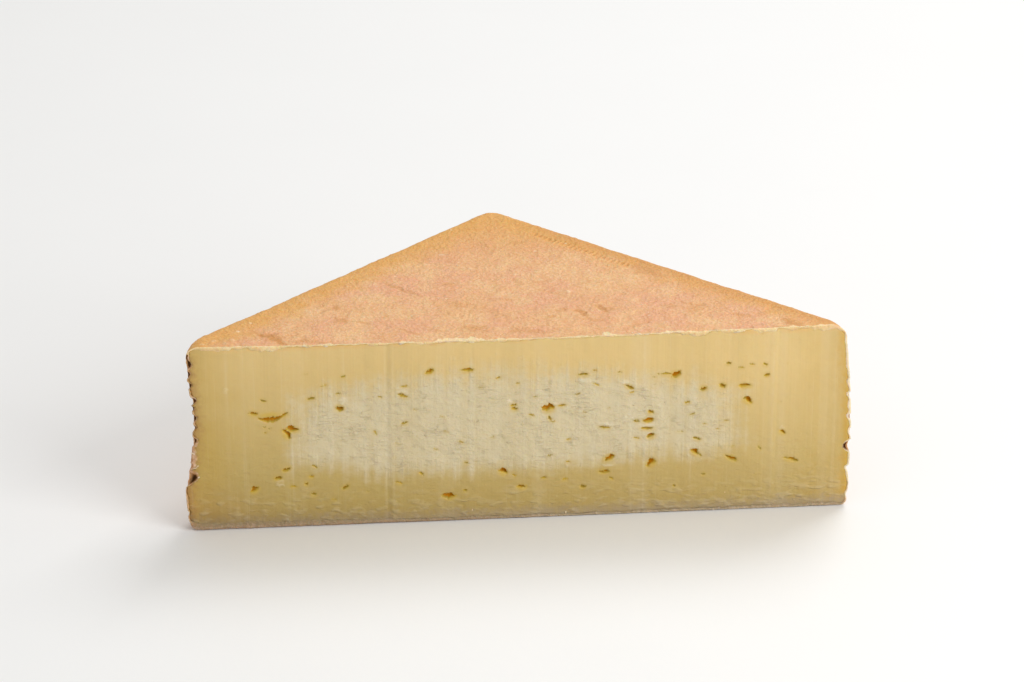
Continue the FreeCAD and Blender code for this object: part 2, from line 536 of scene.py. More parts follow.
@dataclass(frozen=True)
class Hollow:
    """A small hollow with pointed ends: its place, its long way, its breadth's way and the way in."""
    place: Array
    along: Array
    across: Array
    inwards: Array
    length: float
    width: float
    depth: float
    pointed: float = 2.0            # 2 for pointed ends, 1 for round ones
    stain_and_painted_light: float = 0.0              # how russet the hollow is painted: painted shade in the rack's marks
    pit_shade: float = 0.0               # how much painted shade darkens it at its deepest

    def sink(self, points: Array) -> Array:
        """How deep the hollow is at each point, from 0 outside its mouth.

        Args:
            points: the points, one row each.

        Returns:
            The depth at each one.
        """
        offset = points - self.place
        u = offset @ self.along / (self.length / 2)
        v = offset @ self.across / (self.width / 2)
        room = np.clip(1.0 - u * u, 0.0, 1.0)
        near = np.abs(offset @ self.inwards) < 2.0 * max(self.depth, 1.0)
        return np.where(near, self.depth * np.clip(room ** self.pointed - v * v, 0.0, 1.0), 0.0)


@dataclass(frozen=True)
class Form:
    """The half cheese's own shape, around the middle of the cut."""
    diagonal: float = 166.0
    right_radius: float = 9.0
    back_radius: float = 6.0
    left_radius: float = 14.0
    wall_bow: float = 0.6
    thickness: float = 50.5
    dish: float = 0.9
    top_rim: float = 3.8
    foot_rim: float = 2.0
    swell_left: tuple[float, ...] = (0.2, 1.1, -0.4, -1.3, -0.3, 0.5)
    swell_back: tuple[float, ...] = (0.9, 0.6, -0.3, -0.5, 0.2, 0.4)
    swell_right: tuple[float, ...] = (1.9, 2.2, 2.3, 1.9, 1.0, -0.2)
    stroke_ends: tuple[float, float] = (0.305, 0.895)
    stroke_depths: tuple[float, float, float] = (0.25, 0.0, 0.15)

    @property
    def cut_half(self) -> float:
        """From the middle of the cut to its end."""
        return self.diagonal / 2

    @property
    def origin(self) -> Array:
        """Where the cheese's own frame stands in the part's frame, in millimetres.

        Returns:
            Its x, y and z.
        """
        low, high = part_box(NODE)
        widest = curve_through(self.swell_right, np.linspace(0.0, 1.0, 60)).max()
        return np.array([high.x / MM - self.cut_half - widest, low.y / MM, low.z / MM])

    def across(self, share: float) -> float:
        """The x of a share of the cut's length."""
        return (2 * share - 1) * self.cut_half

    def top_height(self, x: Array, y: Array) -> Array:
        """The height of the dished top over a place."""
        radius = (self.cut_half ** 2 + self.dish ** 2) / (2 * self.dish)
        return self.thickness + radius - np.sqrt(radius ** 2 - x ** 2 - y ** 2)

    def cut_end(self, end: End, up: float) -> float:
        """The x of one end of the cut at a share of the height."""
        swell = self.swell_left if end is End.LEFT else self.swell_right
        return end.value * (self.cut_half + float(curve_through(swell, np.array([up]))[0]))

    def from_end(self, points: Array) -> Array:
        """How far each point on the cut lies inside the nearer end of the cut.

        Args:
            points: the points, one row each.

        Returns:
            The distance for each one.
        """
        up = points[:, 2] / self.thickness
        left = self.cut_half + curve_through(self.swell_left, up) + points[:, 0]
        right = self.cut_half + curve_through(self.swell_right, up) - points[:, 0]
        return np.minimum(left, right)

    def wall_arc(self, first: Array, second: Array, first_radius: float, second_radius: float
                 ) -> tuple[Array, Array]:
        """The bowed wall that touches two corners' arcs.

        Args:
            first: the centre of the corner that the wall starts from, anticlockwise from above.
            second: the centre of the corner that it runs to.
            first_radius: the first corner's radius.
            second_radius: the second corner's radius.

        Returns:
            The wall's centre and its radius.
        """
        chord = second - first
        length = np.linalg.norm(chord, axis=-1)
        mean = (first_radius + second_radius) / 2
        radius = (length ** 2 / 4 + self.wall_bow ** 2) / (2 * self.wall_bow) + mean
        to_first, to_second = radius - first_radius, radius - second_radius
        along = (to_first ** 2 - to_second ** 2 + length ** 2) / (2 * length)
        inwards = np.stack([-chord[..., 1], chord[..., 0]], axis=-1) / length[..., None]
        centre = (first + chord * (along / length)[..., None]
                  + inwards * np.sqrt(to_first ** 2 - along ** 2)[..., None])
        return centre, radius

    def columns(self, spacing: float) -> tuple[Array, Array]:
        """Places round the wall from the left end of the cut to the right.

        Args:
            spacing: about how far apart they are.

        Returns:
            For each place, which of the five arcs it is on, and its share of that arc.
        """
        wall = self.cut_half * math.sqrt(2) - 2 * self.back_radius
        lengths = (self.left_radius * math.pi / 4, wall, self.back_radius * math.pi / 2, wall,
                   self.right_radius * math.pi / 4)
        arcs, shares = [], []
        for arc, length in enumerate(lengths):
            count = max(4, round(length / spacing))
            arcs.append(np.full(count, arc))
            shares.append(np.arange(count) / count)
        return np.append(np.concatenate(arcs), 4), np.append(np.concatenate(shares), 1.0)

    def wall(self, arcs: Array, shares: Array, z: Array, inset: Array) -> Array:
        """Places on the wall.

        Args:
            arcs: which arc each column is on.
            shares: each column's share of its arc.
            z: the height at each row and column.
            inset: how far inside the wall, at each row and column.

        Returns:
            x, y and z at each row and column.
        """
        up = z / (self.thickness + 2 * self.dish)
        none = np.zeros_like(z)
        radii = (self.left_radius, self.back_radius, self.right_radius)
        swells = (self.swell_left, self.swell_back, self.swell_right)
        reaches = [self.cut_half - radius + curve_through(swell, up) for radius, swell in zip(radii, swells)]
        left = np.stack([-reaches[0], none], axis=-1)
        back = np.stack([none, reaches[1]], axis=-1)
        right = np.stack([reaches[2], none], axis=-1)
        left_hub, left_span = self.wall_arc(back, left, radii[1], radii[0])
        right_hub, right_span = self.wall_arc(right, back, radii[2], radii[1])
        turns = [np.arctan2(way[..., 1], way[..., 0])
                 for way in (left - left_hub, back - left_hub, back - right_hub, right - right_hub)]
        pieces = (
            (left, none + radii[0], none + math.pi, turns[0]),
            (left_hub, left_span, turns[0], turns[1]),
            (back, none + radii[1], turns[1], turns[2]),
            (right_hub, right_span, turns[2], turns[3]),
            (right, none + radii[2], turns[3], none))
        found = np.zeros(z.shape + (3,))
        for arc, (hub, radius, start, end) in enumerate(pieces):
            on = arcs == arc
            angle = start[:, on] + (end - start)[:, on] * shares[on]
            span = radius[:, on] - inset[:, on]
            found[:, on, 0] = hub[:, on, 0] + span * np.cos(angle)
            found[:, on, 1] = hub[:, on, 1] + span * np.sin(angle)
        found[..., 2] = z
        return found

    def from_wall(self, x: Array, y: Array) -> Array:
        """About how far a place lies inside the walls, seen from above."""
        corner = (math.sqrt(2) - 1) * self.back_radius
        return (self.cut_half + corner - np.abs(x) - y) / math.sqrt(2) + self.wall_bow


@dataclass(frozen=True)
class Blemish:
    """A stain, a crease, or a pale speck painted as a glint, on the top: its place, its size in millimetres and its
    turn from above.
    """
    x: float
    y: float
    length: float
    width: float
    turn: float
    stain_and_painted_light: float
    depth: float = 0.0

    def share(self, points: Array) -> Array:
        """How near each point is to the blemish's middle, from 0 outside it to 1.

        Args:
            points: the points, one row each.

        Returns:
            The nearness of each one.
        """
        along, across = turned(points, (self.x, self.y), self.turn)
        u = along / (self.length / 2)
        v = across / (self.width / 2) + 0.5 * wander(u * self.length / 3, 1.0, int(self.length * 10))
        return smooth(0.0, 0.8, np.clip(1 - u * u - v * v, 0.0, 1.0)) * (points[:, 2] > TOP_SIDE)


# Stains above 0 are russet, those below 0 are pale specks painted as glints on small raised bumps.
BLEMISHES = tuple(Blemish(*sizes) for sizes in (
    (-27, 33, 17, 1.8, -46, 0.45, 0.18), (-61, 4.8, 13, 2.4, -48, 0.95, 0.14),
    (-38.5, 13.3, 7, 1.4, -30, 0.4, 0.14), (-27, 7, 8, 1.4, -40, 0.4, 0.14),
    (17.4, 15, 7.5, 2.6, -74, 0.8, 0.18), (22.5, 17, 7, 2, -70, 0.7, 0.16),
    (20, 10.5, 8, 2.4, -15, 0.35, 0.12), (69.5, 2.8, 9, 3.4, -70, 0.8), (37, 39, 15, 5, -45, 0.5),
    (-10, 8, 9, 4.5, -30, 0.45, 0.12), (4, 5, 14, 3, -8, 0.4, 0.1), (12, 27, 16, 1.6, -38, 0.25, 0.14),
    (-8, 19, 26, 5, -35, 0.25, 0.08), (47, 17, 10, 2, -20, 0.35, 0.12), (-46, 22, 12, 2, 38, 0.25, 0.12),
    (-52, 2.6, 14, 2.4, -6, 0.45, 0.08), (30, 6, 13, 1.6, 28, 0.3, 0.14), (58, 9, 9, 1.8, -35, 0.35, 0.12),
    (-15.4, 54.2, 2.2, 1.4, 10, -0.45, -0.1), (-8.3, 44.9, 1.4, 1.2, 0, -0.45, -0.08),
    (2.8, 40.1, 1.5, 2, 60, -0.3, -0.08), (8.9, 36.3, 1.4, 2.2, 40, -0.35, -0.1),
    (15.6, 28, 1.5, 1.7, 0, -0.6, -0.12), (-69.5, 9.3, 1.5, 1.6, 0, -0.6, -0.12),
    (-75.6, 3.8, 1.8, 1.8, 30, -0.35, -0.14), (-71, 4.4, 1.6, 2.2, 20, -0.3, -0.14),
    (-73, 2.4, 1.3, 1.6, 0, -0.3, -0.12), (-66, 3.4, 1.4, 1.4, 0, -0.25, -0.12),
    (-78.5, 2, 1.6, 1.4, 0, -0.3, -0.12), (-20, 48, 1.2, 1.6, 0, -0.3, -0.08)))


@dataclass
class Skin:
    """One curved surface of the half, open at the cut: top, rims, wall and underside."""
    form: Form
    inset: float = 0.0
    setback: float = 0.0            # how far behind the cut it starts
    column_spacing: float = 0.8
    row_spacing: float = 0.55
    rim_steps: int = 9
    foot_steps: int = 5
    top_spacing: float = 0.42
    under_spacing: float = 1.8
    hollows: list[Hollow] = field(default_factory=list)
    blemishes: tuple[Blemish, ...] = ()
    ragged: float = 0.0             # how deep the scallops of the walls are where the knife passed
    climb: Callable[[Array], Array] | None = None     # how far the torn edge reaches over the top

    @classmethod
    def coarse(cls, form: Form, inset: float, setback: float) -> "Skin":
        """A plain skin that nobody sees, inside the cheese."""
        return cls(form, inset, setback, column_spacing=3.5, row_spacing=3.5, rim_steps=3, foot_steps=2,
                   top_spacing=3.0, under_spacing=4.0)

    def rows(self, top: Array) -> tuple[Array, Array]:
        """The heights and insets of the rows from the top's edge to the underside's.

        Args:
            top: the crown's height at each column.

        Returns:
            The height and the inset at each row and column.
        """
        form, inset, none = self.form, self.inset, 0 * top
        rim, foot = form.top_rim - inset, form.foot_rim - inset
        rows = [(top - inset - rim * (1 - math.cos(angle)), inset + rim * (1 - math.sin(angle)) + none)
                for angle in np.linspace(0.0, math.pi / 2, self.rim_steps + 1)]
        steps = round((form.thickness - form.top_rim - form.foot_rim) / self.row_spacing)
        rows += [((top - form.top_rim) * (1 - share) + form.foot_rim * share, inset + none)
                 for share in np.arange(1, steps) / steps]
        rows += [(inset + foot * (1 - math.cos(angle)) + none, inset + foot * (1 - math.sin(angle)) + none)
                 for angle in np.linspace(math.pi / 2, 0.0, self.foot_steps + 1)]
        heights, insets = zip(*rows)
        return np.array(heights), np.array(insets)

    def sunk(self, points: Array) -> tuple[Array, Array, Array]:
        """Opens the hollows in some points.

        Args:
            points: the points, one row each.

        Returns:
            The moved points, how much painted shade each one gets in a pit, and its stains, painted shade in the
            rack's marks and painted glints.
        """
        moved, pit_shade, stain_and_painted_light = points.copy(), np.zeros(len(points)), np.zeros(len(points))
        for hollow in self.hollows:
            depth = hollow.sink(points)
            moved += depth[:, None] * hollow.inwards
            pit_shade = np.maximum(pit_shade, hollow.pit_shade * depth / hollow.depth)
            stain_and_painted_light += hollow.stain_and_painted_light * depth / hollow.depth
        side = np.where(points[:, 0] < 0, 61.0, 193.0)      # so that the two ends have scallops of their own
        scallops = wander(points[:, 2] + 0.5 * points[:, 1] + side, 1.5, 5) + 0.6 * wander(
            points[:, 2] - points[:, 1] + side, 0.8, 6)
        edge = smooth(3.0, 0.0, points[:, 1]) * smooth(1.0, 3.0, points[:, 2]) * (
            smooth(2.0, 5.0, self.form.thickness - points[:, 2]))
        edge = edge * np.where(points[:, 0] < 0, 1.0, 0.2 + 0.6 * smooth(40.0, 30.0, points[:, 2]))
        moved[:, 0] -= np.sign(points[:, 0]) * self.ragged * edge * np.clip(scallops, 0.0, 1.0)
        for blemish in self.blemishes:
            share = blemish.share(points)
            moved[:, 2] -= blemish.depth * share
            stain_and_painted_light += blemish.stain_and_painted_light * share
        return moved, pit_shade, stain_and_painted_light

    def mark_points(self, spacing: float) -> Array:
        """Places seen from above that follow the hollows of the top, so that their shape comes out.

        Args:
            spacing: the distance between them.

        Returns:
            Their x and y, one row each.
        """
        found = [np.zeros((0, 2))]
        for hollow in self.hollows:
            if hollow.inwards[2] < 0.0:
                along = np.arange(-0.5, 0.5, spacing / hollow.length)[:, None, None] * hollow.length
                across = np.linspace(-0.5, 0.5, 5)[None, :, None] * hollow.width
                places = hollow.place[:2] + along * hollow.along[:2] + across * hollow.across[:2]
                found.append(places.reshape(-1, 2))
        return np.concatenate(found)

    def put(self, patchwork: Patchwork, points: Array) -> Array:
        """Places points of the skin with what they keep, and returns their numbers.

        Args:
            patchwork: where the skin is built.
            points: the points.

        Returns:
            Their numbers, in the shape of the points.
        """
        flat, pit_shade, stain_and_painted_light = self.sunk(points.reshape(-1, 3))
        inwards = self.form.from_wall(flat[:, 0], flat[:, 1])
        apex = np.array([0.0, self.form.cut_half])
        flat[:, :2] = apex + (flat[:, :2] - apex) * (1 - self.setback / self.form.cut_half)
        rim = self.form.thickness - self.form.top_rim
        crown = smooth(rim, rim + 2.0, flat[:, 2]) * smooth(4.0, 9.0, inwards) * (self.inset == 0.0)
        climb = np.clip(self.climb(flat[:, 0]) - flat[:, 1], -2.0, 2.0) if self.climb else 0.0 * inwards
        marks = {"stain_and_painted_light": stain_and_painted_light, "climb": climb, "pit": pit_shade, "from_wall": inwards, "crown": crown}
        return patchwork.place(flat.reshape(points.shape), skin=0.0 if self.inset else 1.0,
                               **{name: values.reshape(points.shape[:-1]) for name, values in marks.items()})

    def cap(self, patchwork: Patchwork, edge_ids: Array, edge: Array, spacing: float,
            front_spacing: float, height: object) -> Array:
        """Closes the skin with a flat or crowned cap.

        Args:
            patchwork: where the skin is built.
            edge_ids: the numbers of the points round the cap's edge, from left to right.
            edge: those points.
            spacing: the distance between the cap's points.
            front_spacing: the distance between its points along the cut.
            height: gives the height at x and y.

        Returns:
            The numbers of the points along the cut, from left to right, ends included.
        """
        left, right = edge[0, 0], edge[-1, 0]
        x = np.linspace(left, right, round((right - left) / front_spacing) + 1)[1:-1]
        front = np.stack([x, 0 * x, height(x, 0 * x)], axis=1)
        front_ids = self.put(patchwork, front)
        border = np.concatenate([edge[:, :2], front[::-1, :2]])
        inner = lattice(border.min(0), border.max(0), spacing)
        inner = inner[inside(border, inner)]
        inner = inner[clear_of(border, inner, 0.62 * spacing)]
        marks = self.mark_points(0.6 * spacing)
        if len(marks):
            inner = np.concatenate([marks, inner[clear_of(marks, inner, 0.5 * spacing)]])
        inner_ids = self.put(patchwork, np.column_stack([inner, height(inner[:, 0], inner[:, 1])]))
        ids = np.concatenate([edge_ids, front_ids[::-1], inner_ids])
        patchwork.fill(ids, np.concatenate([border, inner]), len(border))
        return np.concatenate([edge_ids[:1], front_ids, edge_ids[-1:]])

    def build(self, patchwork: Patchwork) -> Array:
        """Builds the skin.

        Args:
            patchwork: where to build it.

        Returns:
            The numbers of the points round the cut, from the foot of its left end up and over.
        """
        form = self.form
        arcs, shares = form.columns(self.column_spacing)
        level = np.full((1, len(arcs)), form.thickness + form.dish)
        edge = form.wall(arcs, shares, level, np.full_like(level, form.top_rim))[0]
        z, inset = self.rows(form.top_height(edge[:, 0], edge[:, 1]))
        points = form.wall(arcs, shares, z, inset)
        ids = self.put(patchwork, points)
        patchwork.weave(ids)
        top = self.cap(patchwork, ids[0], points[0], self.top_spacing, self.top_spacing,
                       lambda x, y: form.top_height(x, y) - self.inset)
        under = self.cap(patchwork, ids[-1], points[-1], self.under_spacing, self.top_spacing,
                         lambda x, y: 0 * x + self.inset)
        return np.concatenate([ids[::-1, 0], top[1:-1], ids[:, -1], under[-2:0:-1]])


# ---- The finishes ----

Colour = tuple[float, float, float, float]


def shade(red: float, green: float, blue: float) -> Colour:
    """A colour from its linear red, green and blue."""
    return (red, green, blue, 1.0)


class Effects:
    """The shader groups that more than one finish uses, each built once."""

    def __init__(self) -> None:
        """Builds the groups."""
        self.mottle = self.build_mottle()
        self.curd_skin = self.build_curd_skin()
        self.speckle = self.build_speckle()
        self.paste_tone = self.build_paste_tone()

    @staticmethod
    def build_mottle() -> Tree:
        """Soft patches: Vector in millimetres and their Size, Edge, Level and Shift, to a Mask.

        Returns:
            The group.
        """
        wiring, given, taken = open_tree("mottle", "ShaderNodeTree", {
            "Vector": "Vector", "Size": 8.0, "Edge": 0.12, "Level": 0.5, "Shift": 0.0}, {"Mask": "Float"})
        often = wiring.put("ShaderNodeMath", {0: 1.0, 1: given["Size"]}, operation="DIVIDE")
        cloud = (given["Vector"] + given["Shift"]).noise(often, 4.0, 0.55)
        wiring.fill(taken, {"Mask": cloud.step(given["Level"] - given["Edge"], given["Level"] + given["Edge"])})
        return wiring.tree

    @staticmethod
    def build_curd_skin() -> Tree:
        """Fine goose-bumped skin: Vector in millimetres, Pitch and Warp, to a Height and its Creases.

        Returns:
            The group.
        """
        wiring, given, taken = open_tree("curd_skin", "ShaderNodeTree", {
            "Vector": "Vector", "Pitch": 0.9, "Warp": 0.35}, {"Height": "Float", "Creases": "Float"})
        place = given["Vector"] / given["Pitch"]
        warp = wiring.put("ShaderNodeTexNoise", {"Vector": place, "Scale": 0.9, "Detail": 1.0}, "Color")
        bent = place + (warp - (0.5, 0.5, 0.5)).times(given["Warp"])
        cells = wiring.put("ShaderNodeTexVoronoi", {"Vector": bent, "Scale": 1.0, "Smoothness": 0.6},
                           "Distance", feature="SMOOTH_F1")
        height = cells.line(0.1, 0.75, 1.0, 0.0) * 0.65 + place.noise(2.3, 3.0, 0.6) * 0.7
        wiring.fill(taken, {"Height": height, "Creases": height.step(0.42, 0.8, 1.0, 0.0)})
        return wiring.tree

    @staticmethod
    def build_speckle() -> Tree:
        """Scattered dots: Vector in millimetres, Cell, Share of cells and dot Size, to a Mask.

        Returns:
            The group.
        """
        wiring, given, taken = open_tree("speckle", "ShaderNodeTree", {
            "Vector": "Vector", "Cell": 3.0, "Share": 0.2, "Size": 0.1}, {"Mask": "Float"})
        cells = wiring.add("ShaderNodeTexVoronoi", {"Vector": given["Vector"] / given["Cell"], "Scale": 1.0})
        pick = wiring.put("ShaderNodeSeparateColor", {"Color": Wire(wiring, cells.outputs["Color"])})
        dot = Wire(wiring, cells.outputs["Distance"]).step(given["Size"], given["Size"] * 1.8, 1.0, 0.0)
        wiring.fill(taken, {"Mask": dot * pick.sum("LESS_THAN", given["Share"])})
        return wiring.tree

    @staticmethod
    def build_paste_tone() -> Tree:
        """The ripe paste: deeper to the foot, partly its own riper foot and partly painted shade, golden at the
        ends, brown along the left wall, and painted shade along the foot that grows toward the left end.

        Returns:
            The group.
        """
        wiring, given, taken = open_tree("paste_tone", "ShaderNodeTree", {
            "Vector": "Vector", "From End": 20.0, "Height": 50.5, "High": shade(0.72, 0.515, 0.21),
            "Low": shade(0.478, 0.347, 0.104), "Gold": shade(0.512, 0.325, 0.056),
            "Brown": shade(0.4, 0.205, 0.06), "Amber": shade(0.6, 0.345, 0.045),
            "Foot": shade(0.4, 0.3, 0.18), "Shade": shade(0.2, 0.125, 0.035)}, {"Color": "Color"})
        x, _, z = given["Vector"].axes()
        # Darker toward the foot and a little toward the left end: partly the paste's own riper foot, partly painted
        # shade.
        up = z / given["Height"] + x * 0.0014
        colour = wiring.mix(up.line(0.08, 0.92), given["Low"], given["High"])
        drift = given["Vector"].noise(0.13, 3.0).line(0.3, 0.7, -2.2, 2.2)
        near = (given["From End"] + drift) / x.line(-40.0, 40.0, 17.0, 16.0)
        golden = near.line(0.0, 1.0, 1.0, 0.0).sum("POWER", 1.7) * up.line(0.15, 0.8, 1.0, 0.6)
        colour = colour.over(golden, given["Gold"])
        fine = given["Vector"].noise(0.7, 4.0, 0.6).line(0.3, 0.7, -1.0, 1.0)
        right = x.step(-20.0, 20.0)
        edging = (given["From End"] + fine).step(0.0, 3.8, 1.0, 0.0) * right.line(0.0, 1.0, 0.8, 0.75)
        colour = colour.over(edging, wiring.mix(right, given["Brown"], given["Amber"]))
        colour = colour.over(z.step(18.0, 2.0, 0.0, 0.34) * x.step(-55.0, -80.0, 0.25, 1.0), given["Brown"])
        colour = colour.over((z + fine * 1.1).step(0.8, 4.6, 0.8, 0.0), given["Foot"])
        # Painted shade along the foot, strongest toward the left end.
        shaded = z.step(8.0, 0.5, 0.0, 0.5) * x.line(10.0, -80.0, 0.15, 1.0)
        wiring.fill(taken, {"Color": colour.over(shaded, given["Shade"])})
        return wiring.tree


class Finish(Wiring):
    """What every finish shares: a material with one Principled shader and its place in millimetres."""

    def __init__(self, name: str, effects: Effects) -> None:
        """Starts an empty material.

        Args:
            name: the material's name.
            effects: the shared shader groups.
        """
        self.material = bpy.data.materials.new(name)
        self.material.use_nodes = True
        super().__init__(self.material.node_tree)
        self.tree.nodes.clear()
        self.effects = effects
        self.shader = self.add("ShaderNodeBsdfPrincipled")
        self.add("ShaderNodeOutputMaterial", {"Surface": Wire(self, self.shader.outputs[0])})
        self.place = self.put("ShaderNodeTexCoord", None, "Object") * TO_MM

    def patches(self, size: float, edge: float = 0.12, level: float = 0.5, shift: float = 0.0,
                vector: Wire | None = None) -> Wire:
        """A mask of soft patches of a size in millimetres.

        Args:
            size: their size.
            edge: how soft their edges are.
            level: how much of the surface they leave bare.
            shift: which patches.
            vector: where they are read, if not at the place itself.

        Returns:
            The mask.
        """
        return self.put("ShaderNodeGroup", {
            "Vector": vector or self.place, "Size": size, "Edge": edge, "Level": level, "Shift": shift},
            "Mask", node_tree=self.effects.mottle)

    def bump(self, height: Wire, depth: float, before: Wire | None = None) -> Wire:
        """Turns a height from 0 to 1 into a normal, for relief of a depth in millimetres."""
        inputs = {"Height": height, "Distance": depth * MM, "Strength": 1.0}
        return self.put("ShaderNodeBump", inputs | ({"Normal": before} if before else {}))

    def skin(self, pitch: float) -> tuple[Wire, Wire]:
        """The height and the creases of goose-bumped skin, so many millimetres from bump to bump.

        Args:
            pitch: the distance from bump to bump.

        Returns:
            The height and the creases.
        """
        node = self.add("ShaderNodeGroup", {"Vector": self.place, "Pitch": pitch, "Warp": 0.5},
                        node_tree=self.effects.curd_skin)
        return Wire(self, node.outputs["Height"]), Wire(self, node.outputs["Creases"])

    def dots(self, place: Wire, cell: float, share: float, size: float) -> Wire:
        """A mask of scattered dots."""
        return self.put("ShaderNodeGroup", {"Vector": place, "Cell": cell, "Share": share, "Size": size},
                        "Mask", node_tree=self.effects.speckle)

    def ripe(self) -> Wire:
        """The tone of the ripe paste."""
        return self.put("ShaderNodeGroup", {"Vector": self.place, "From End": self.kept("from_end")},
                        "Color", node_tree=self.effects.paste_tone)

    def translucent(self, weight: float, *reach: float) -> None:
        """Lets light into the surface, so many millimetres for red, green and blue."""
        self.fill(self.shader, {"Subsurface Weight": weight, "Subsurface Scale": 1.0,
                                "Subsurface Radius": tuple(depth * MM for depth in reach)})

    def finished(self, colour: Wire, roughness: object, normal: Wire, **more: object) -> Material:
        """Joins the looks to the shader and hands the material back."""
        self.fill(self.shader, {"Base Color": colour, "Roughness": roughness, "Normal": normal} | more)
        return self.material


@dataclass(frozen=True)
class RindFinish:
    """The washed rind: peach skin with fine goose bumps, amber rims, and a pale torn section."""
    peach: Colour = shade(0.77, 0.425, 0.195)
    pink: Colour = shade(0.77, 0.395, 0.215)
    pale: Colour = shade(0.81, 0.49, 0.24)
    amber: Colour = shade(0.72, 0.365, 0.085)
    russet: Colour = shade(0.6, 0.27, 0.075)
    crease: Colour = shade(0.64, 0.29, 0.1)
    lip: Colour = shade(0.9, 0.665, 0.37)
    lip_pink: Colour = shade(0.86, 0.54, 0.33)
    cream: Colour = shade(0.94, 0.76, 0.52)
    section: Colour = shade(0.7, 0.48, 0.32)
    section_deep: Colour = shade(0.48, 0.27, 0.14)
    bark: Colour = shade(0.4, 0.2, 0.08)
    sole: Colour = shade(0.34, 0.24, 0.15)
    honey: Colour = shade(0.76, 0.51, 0.22)
    pit: Colour = shade(0.055, 0.02, 0.004)
    glint_speck: Colour = shade(0.9, 0.69, 0.45)
    rim_reach: float = 9.0          # how far the amber runs in from the walls
    lip_foot: float = 46.5          # the height from which the section counts as the lip

    def skin_colour(self, work: Finish, creases: Wire) -> Wire:
        """The colour of the skin, before it is cut.

        Args:
            work: the material under way.
            creases: the skin's creases.

        Returns:
            The colour.
        """
        inwards, stain_and_painted_light, place = work.kept("from_wall"), work.kept("stain_and_painted_light"), work.place
        x, y, z = place.axes()
        colour = work.mix(work.patches(16.0, 0.13), self.peach, self.pink)
        colour = colour.over(work.patches(7.0, 0.16, 0.56, 31.0), self.pale)
        reach = inwards + place.noise(0.16, 3.0).line(0.2, 0.8, -4.0, 4.0)
        rim = reach.step(self.rim_reach - 6.0, self.rim_reach + 4.0, 0.9, 0.0)
        colour = colour.over(rim * z.step(30.0, 46.0, 0.5, 1.0), self.amber)
        colour = colour.over(work.patches(9.0, 0.05, 0.66, 57.0) * 0.55, self.russet)
        colour = colour.over(y.step(0.0, 32.0, 0.0, 0.75), self.amber)
        # Russet along the right-hand rim: painted shade where the rim turns away.
        colour = colour.over(inwards.step(9.0, 1.0) * x.step(-2.0, 20.0, 0.0, 0.7), self.russet)
        # Deeper orange in the skin's creases, strongest on the walls: painted shade.
        smoother = inwards.step(2.0, 11.0, 0.14, 0.3) * z.step(40.0, 46.0, 2.4, 1.0)
        colour = colour.over(creases * smoother, self.crease)
        # Russet for the top's stains, and as painted shade in the rack's marks.
        colour = colour.over(stain_and_painted_light.sum("MAXIMUM", 0.0), self.russet)
        # Pale specks, listed and scattered: painted glints.
        colour = colour.over((stain_and_painted_light * -1.0).sum("MAXIMUM", 0.0), self.glint_speck)
        colour = colour.over(work.dots(place, 4.2, 0.16, 0.07) * 0.5, self.glint_speck)
        ragged = place.noise(1.4, 4.0, 0.6).line(0.3, 0.7, -0.35, 0.35)
        climb = (work.kept("climb") + ragged).step(-0.1, 0.25, 0.0, 0.9)
        return colour.over(climb * z.step(self.lip_foot, self.lip_foot + 2.5), self.lip)

    def section_colour(self, work: Finish) -> Wire:
        """The colour of the torn section, from the bark outside to the paste inside.

        Args:
            work: the material under way.

        Returns:
            The colour.
        """
        place = work.place
        ragged = place.noise(1.1, 4.0, 0.6).line(0.3, 0.7, -0.25, 0.25)
        deep = work.kept("deep") + ragged
        x, _, z = place.axes()
        right, above = x.step(-20.0, 20.0), (self.lip_foot, self.lip_foot + 2.5)
        flesh = work.mix(work.patches(1.3, 0.2, 0.5, 11.0), self.section, self.section_deep)
        flesh = flesh.over(right * 0.9, self.cream)
        bark = deep.step(0.05, 0.35, 0.85, 0.0) * right.line(0.0, 1.0, 1.0, 0.2) * z.step(2.0, 5.0, 0.15, 1.0)
        streaked = place * (0.22, 1.0, 1.5)
        lip = work.mix(work.patches(1.6, 0.1, 0.56, 19.0, streaked), self.lip, self.lip_pink)
        lip = lip.over(work.kept("between") * work.patches(5.0, 0.1, 0.45, 83.0) * 0.75, self.honey)
        colour = flesh.over(bark, self.bark).over(z.step(*above), lip)
        start = right.line(0.0, 1.0, 0.35, 0.75) * z.step(1.0, 6.0, 0.15, 1.0)
        colour = colour.over(deep.step(start, start + 0.5) * z.step(*above[::-1]), work.ripe())
        return colour.over((z + ragged * 3.0).step(0.0, 3.0, 0.6, 0.0), self.sole)

    def material(self, effects: Effects) -> Material:
        """Builds the material from the shared effects.

        Args:
            effects: the shared shader groups.

        Returns:
            The material.
        """
        work = Finish("washed_rind", effects)
        height, creases = work.skin(0.85)
        high, pit = work.place.axes()[2], work.kept("pit")
        colour = self.skin_colour(work, creases)
        colour = colour.over(work.kept("climb").step(-1.2, 0.1, 0.0, 0.8) * high.step(48.0, 44.0), self.bark)
        colour = colour.over(work.kept("edge"), self.section_colour(work))
        # Painted shade in the pits: bark brown round them, near black deep in them.
        colour = colour.over(pit.step(0.08, 0.4, 0.0, 0.85), self.bark).over(pit.step(0.25, 0.7), self.pit)
        normal = work.bump(work.place.noise(0.45, 4.0, 0.6), 0.5, work.bump(height, 0.2))
        work.translucent(0.3, 2.0, 1.0, 0.4)
        return work.finished(colour, height.line(0.3, 1.0, 0.66, 0.5), normal,
                             **{"Specular IOR Level": pit.line(0.1, 0.5, 0.42, 0.03)})


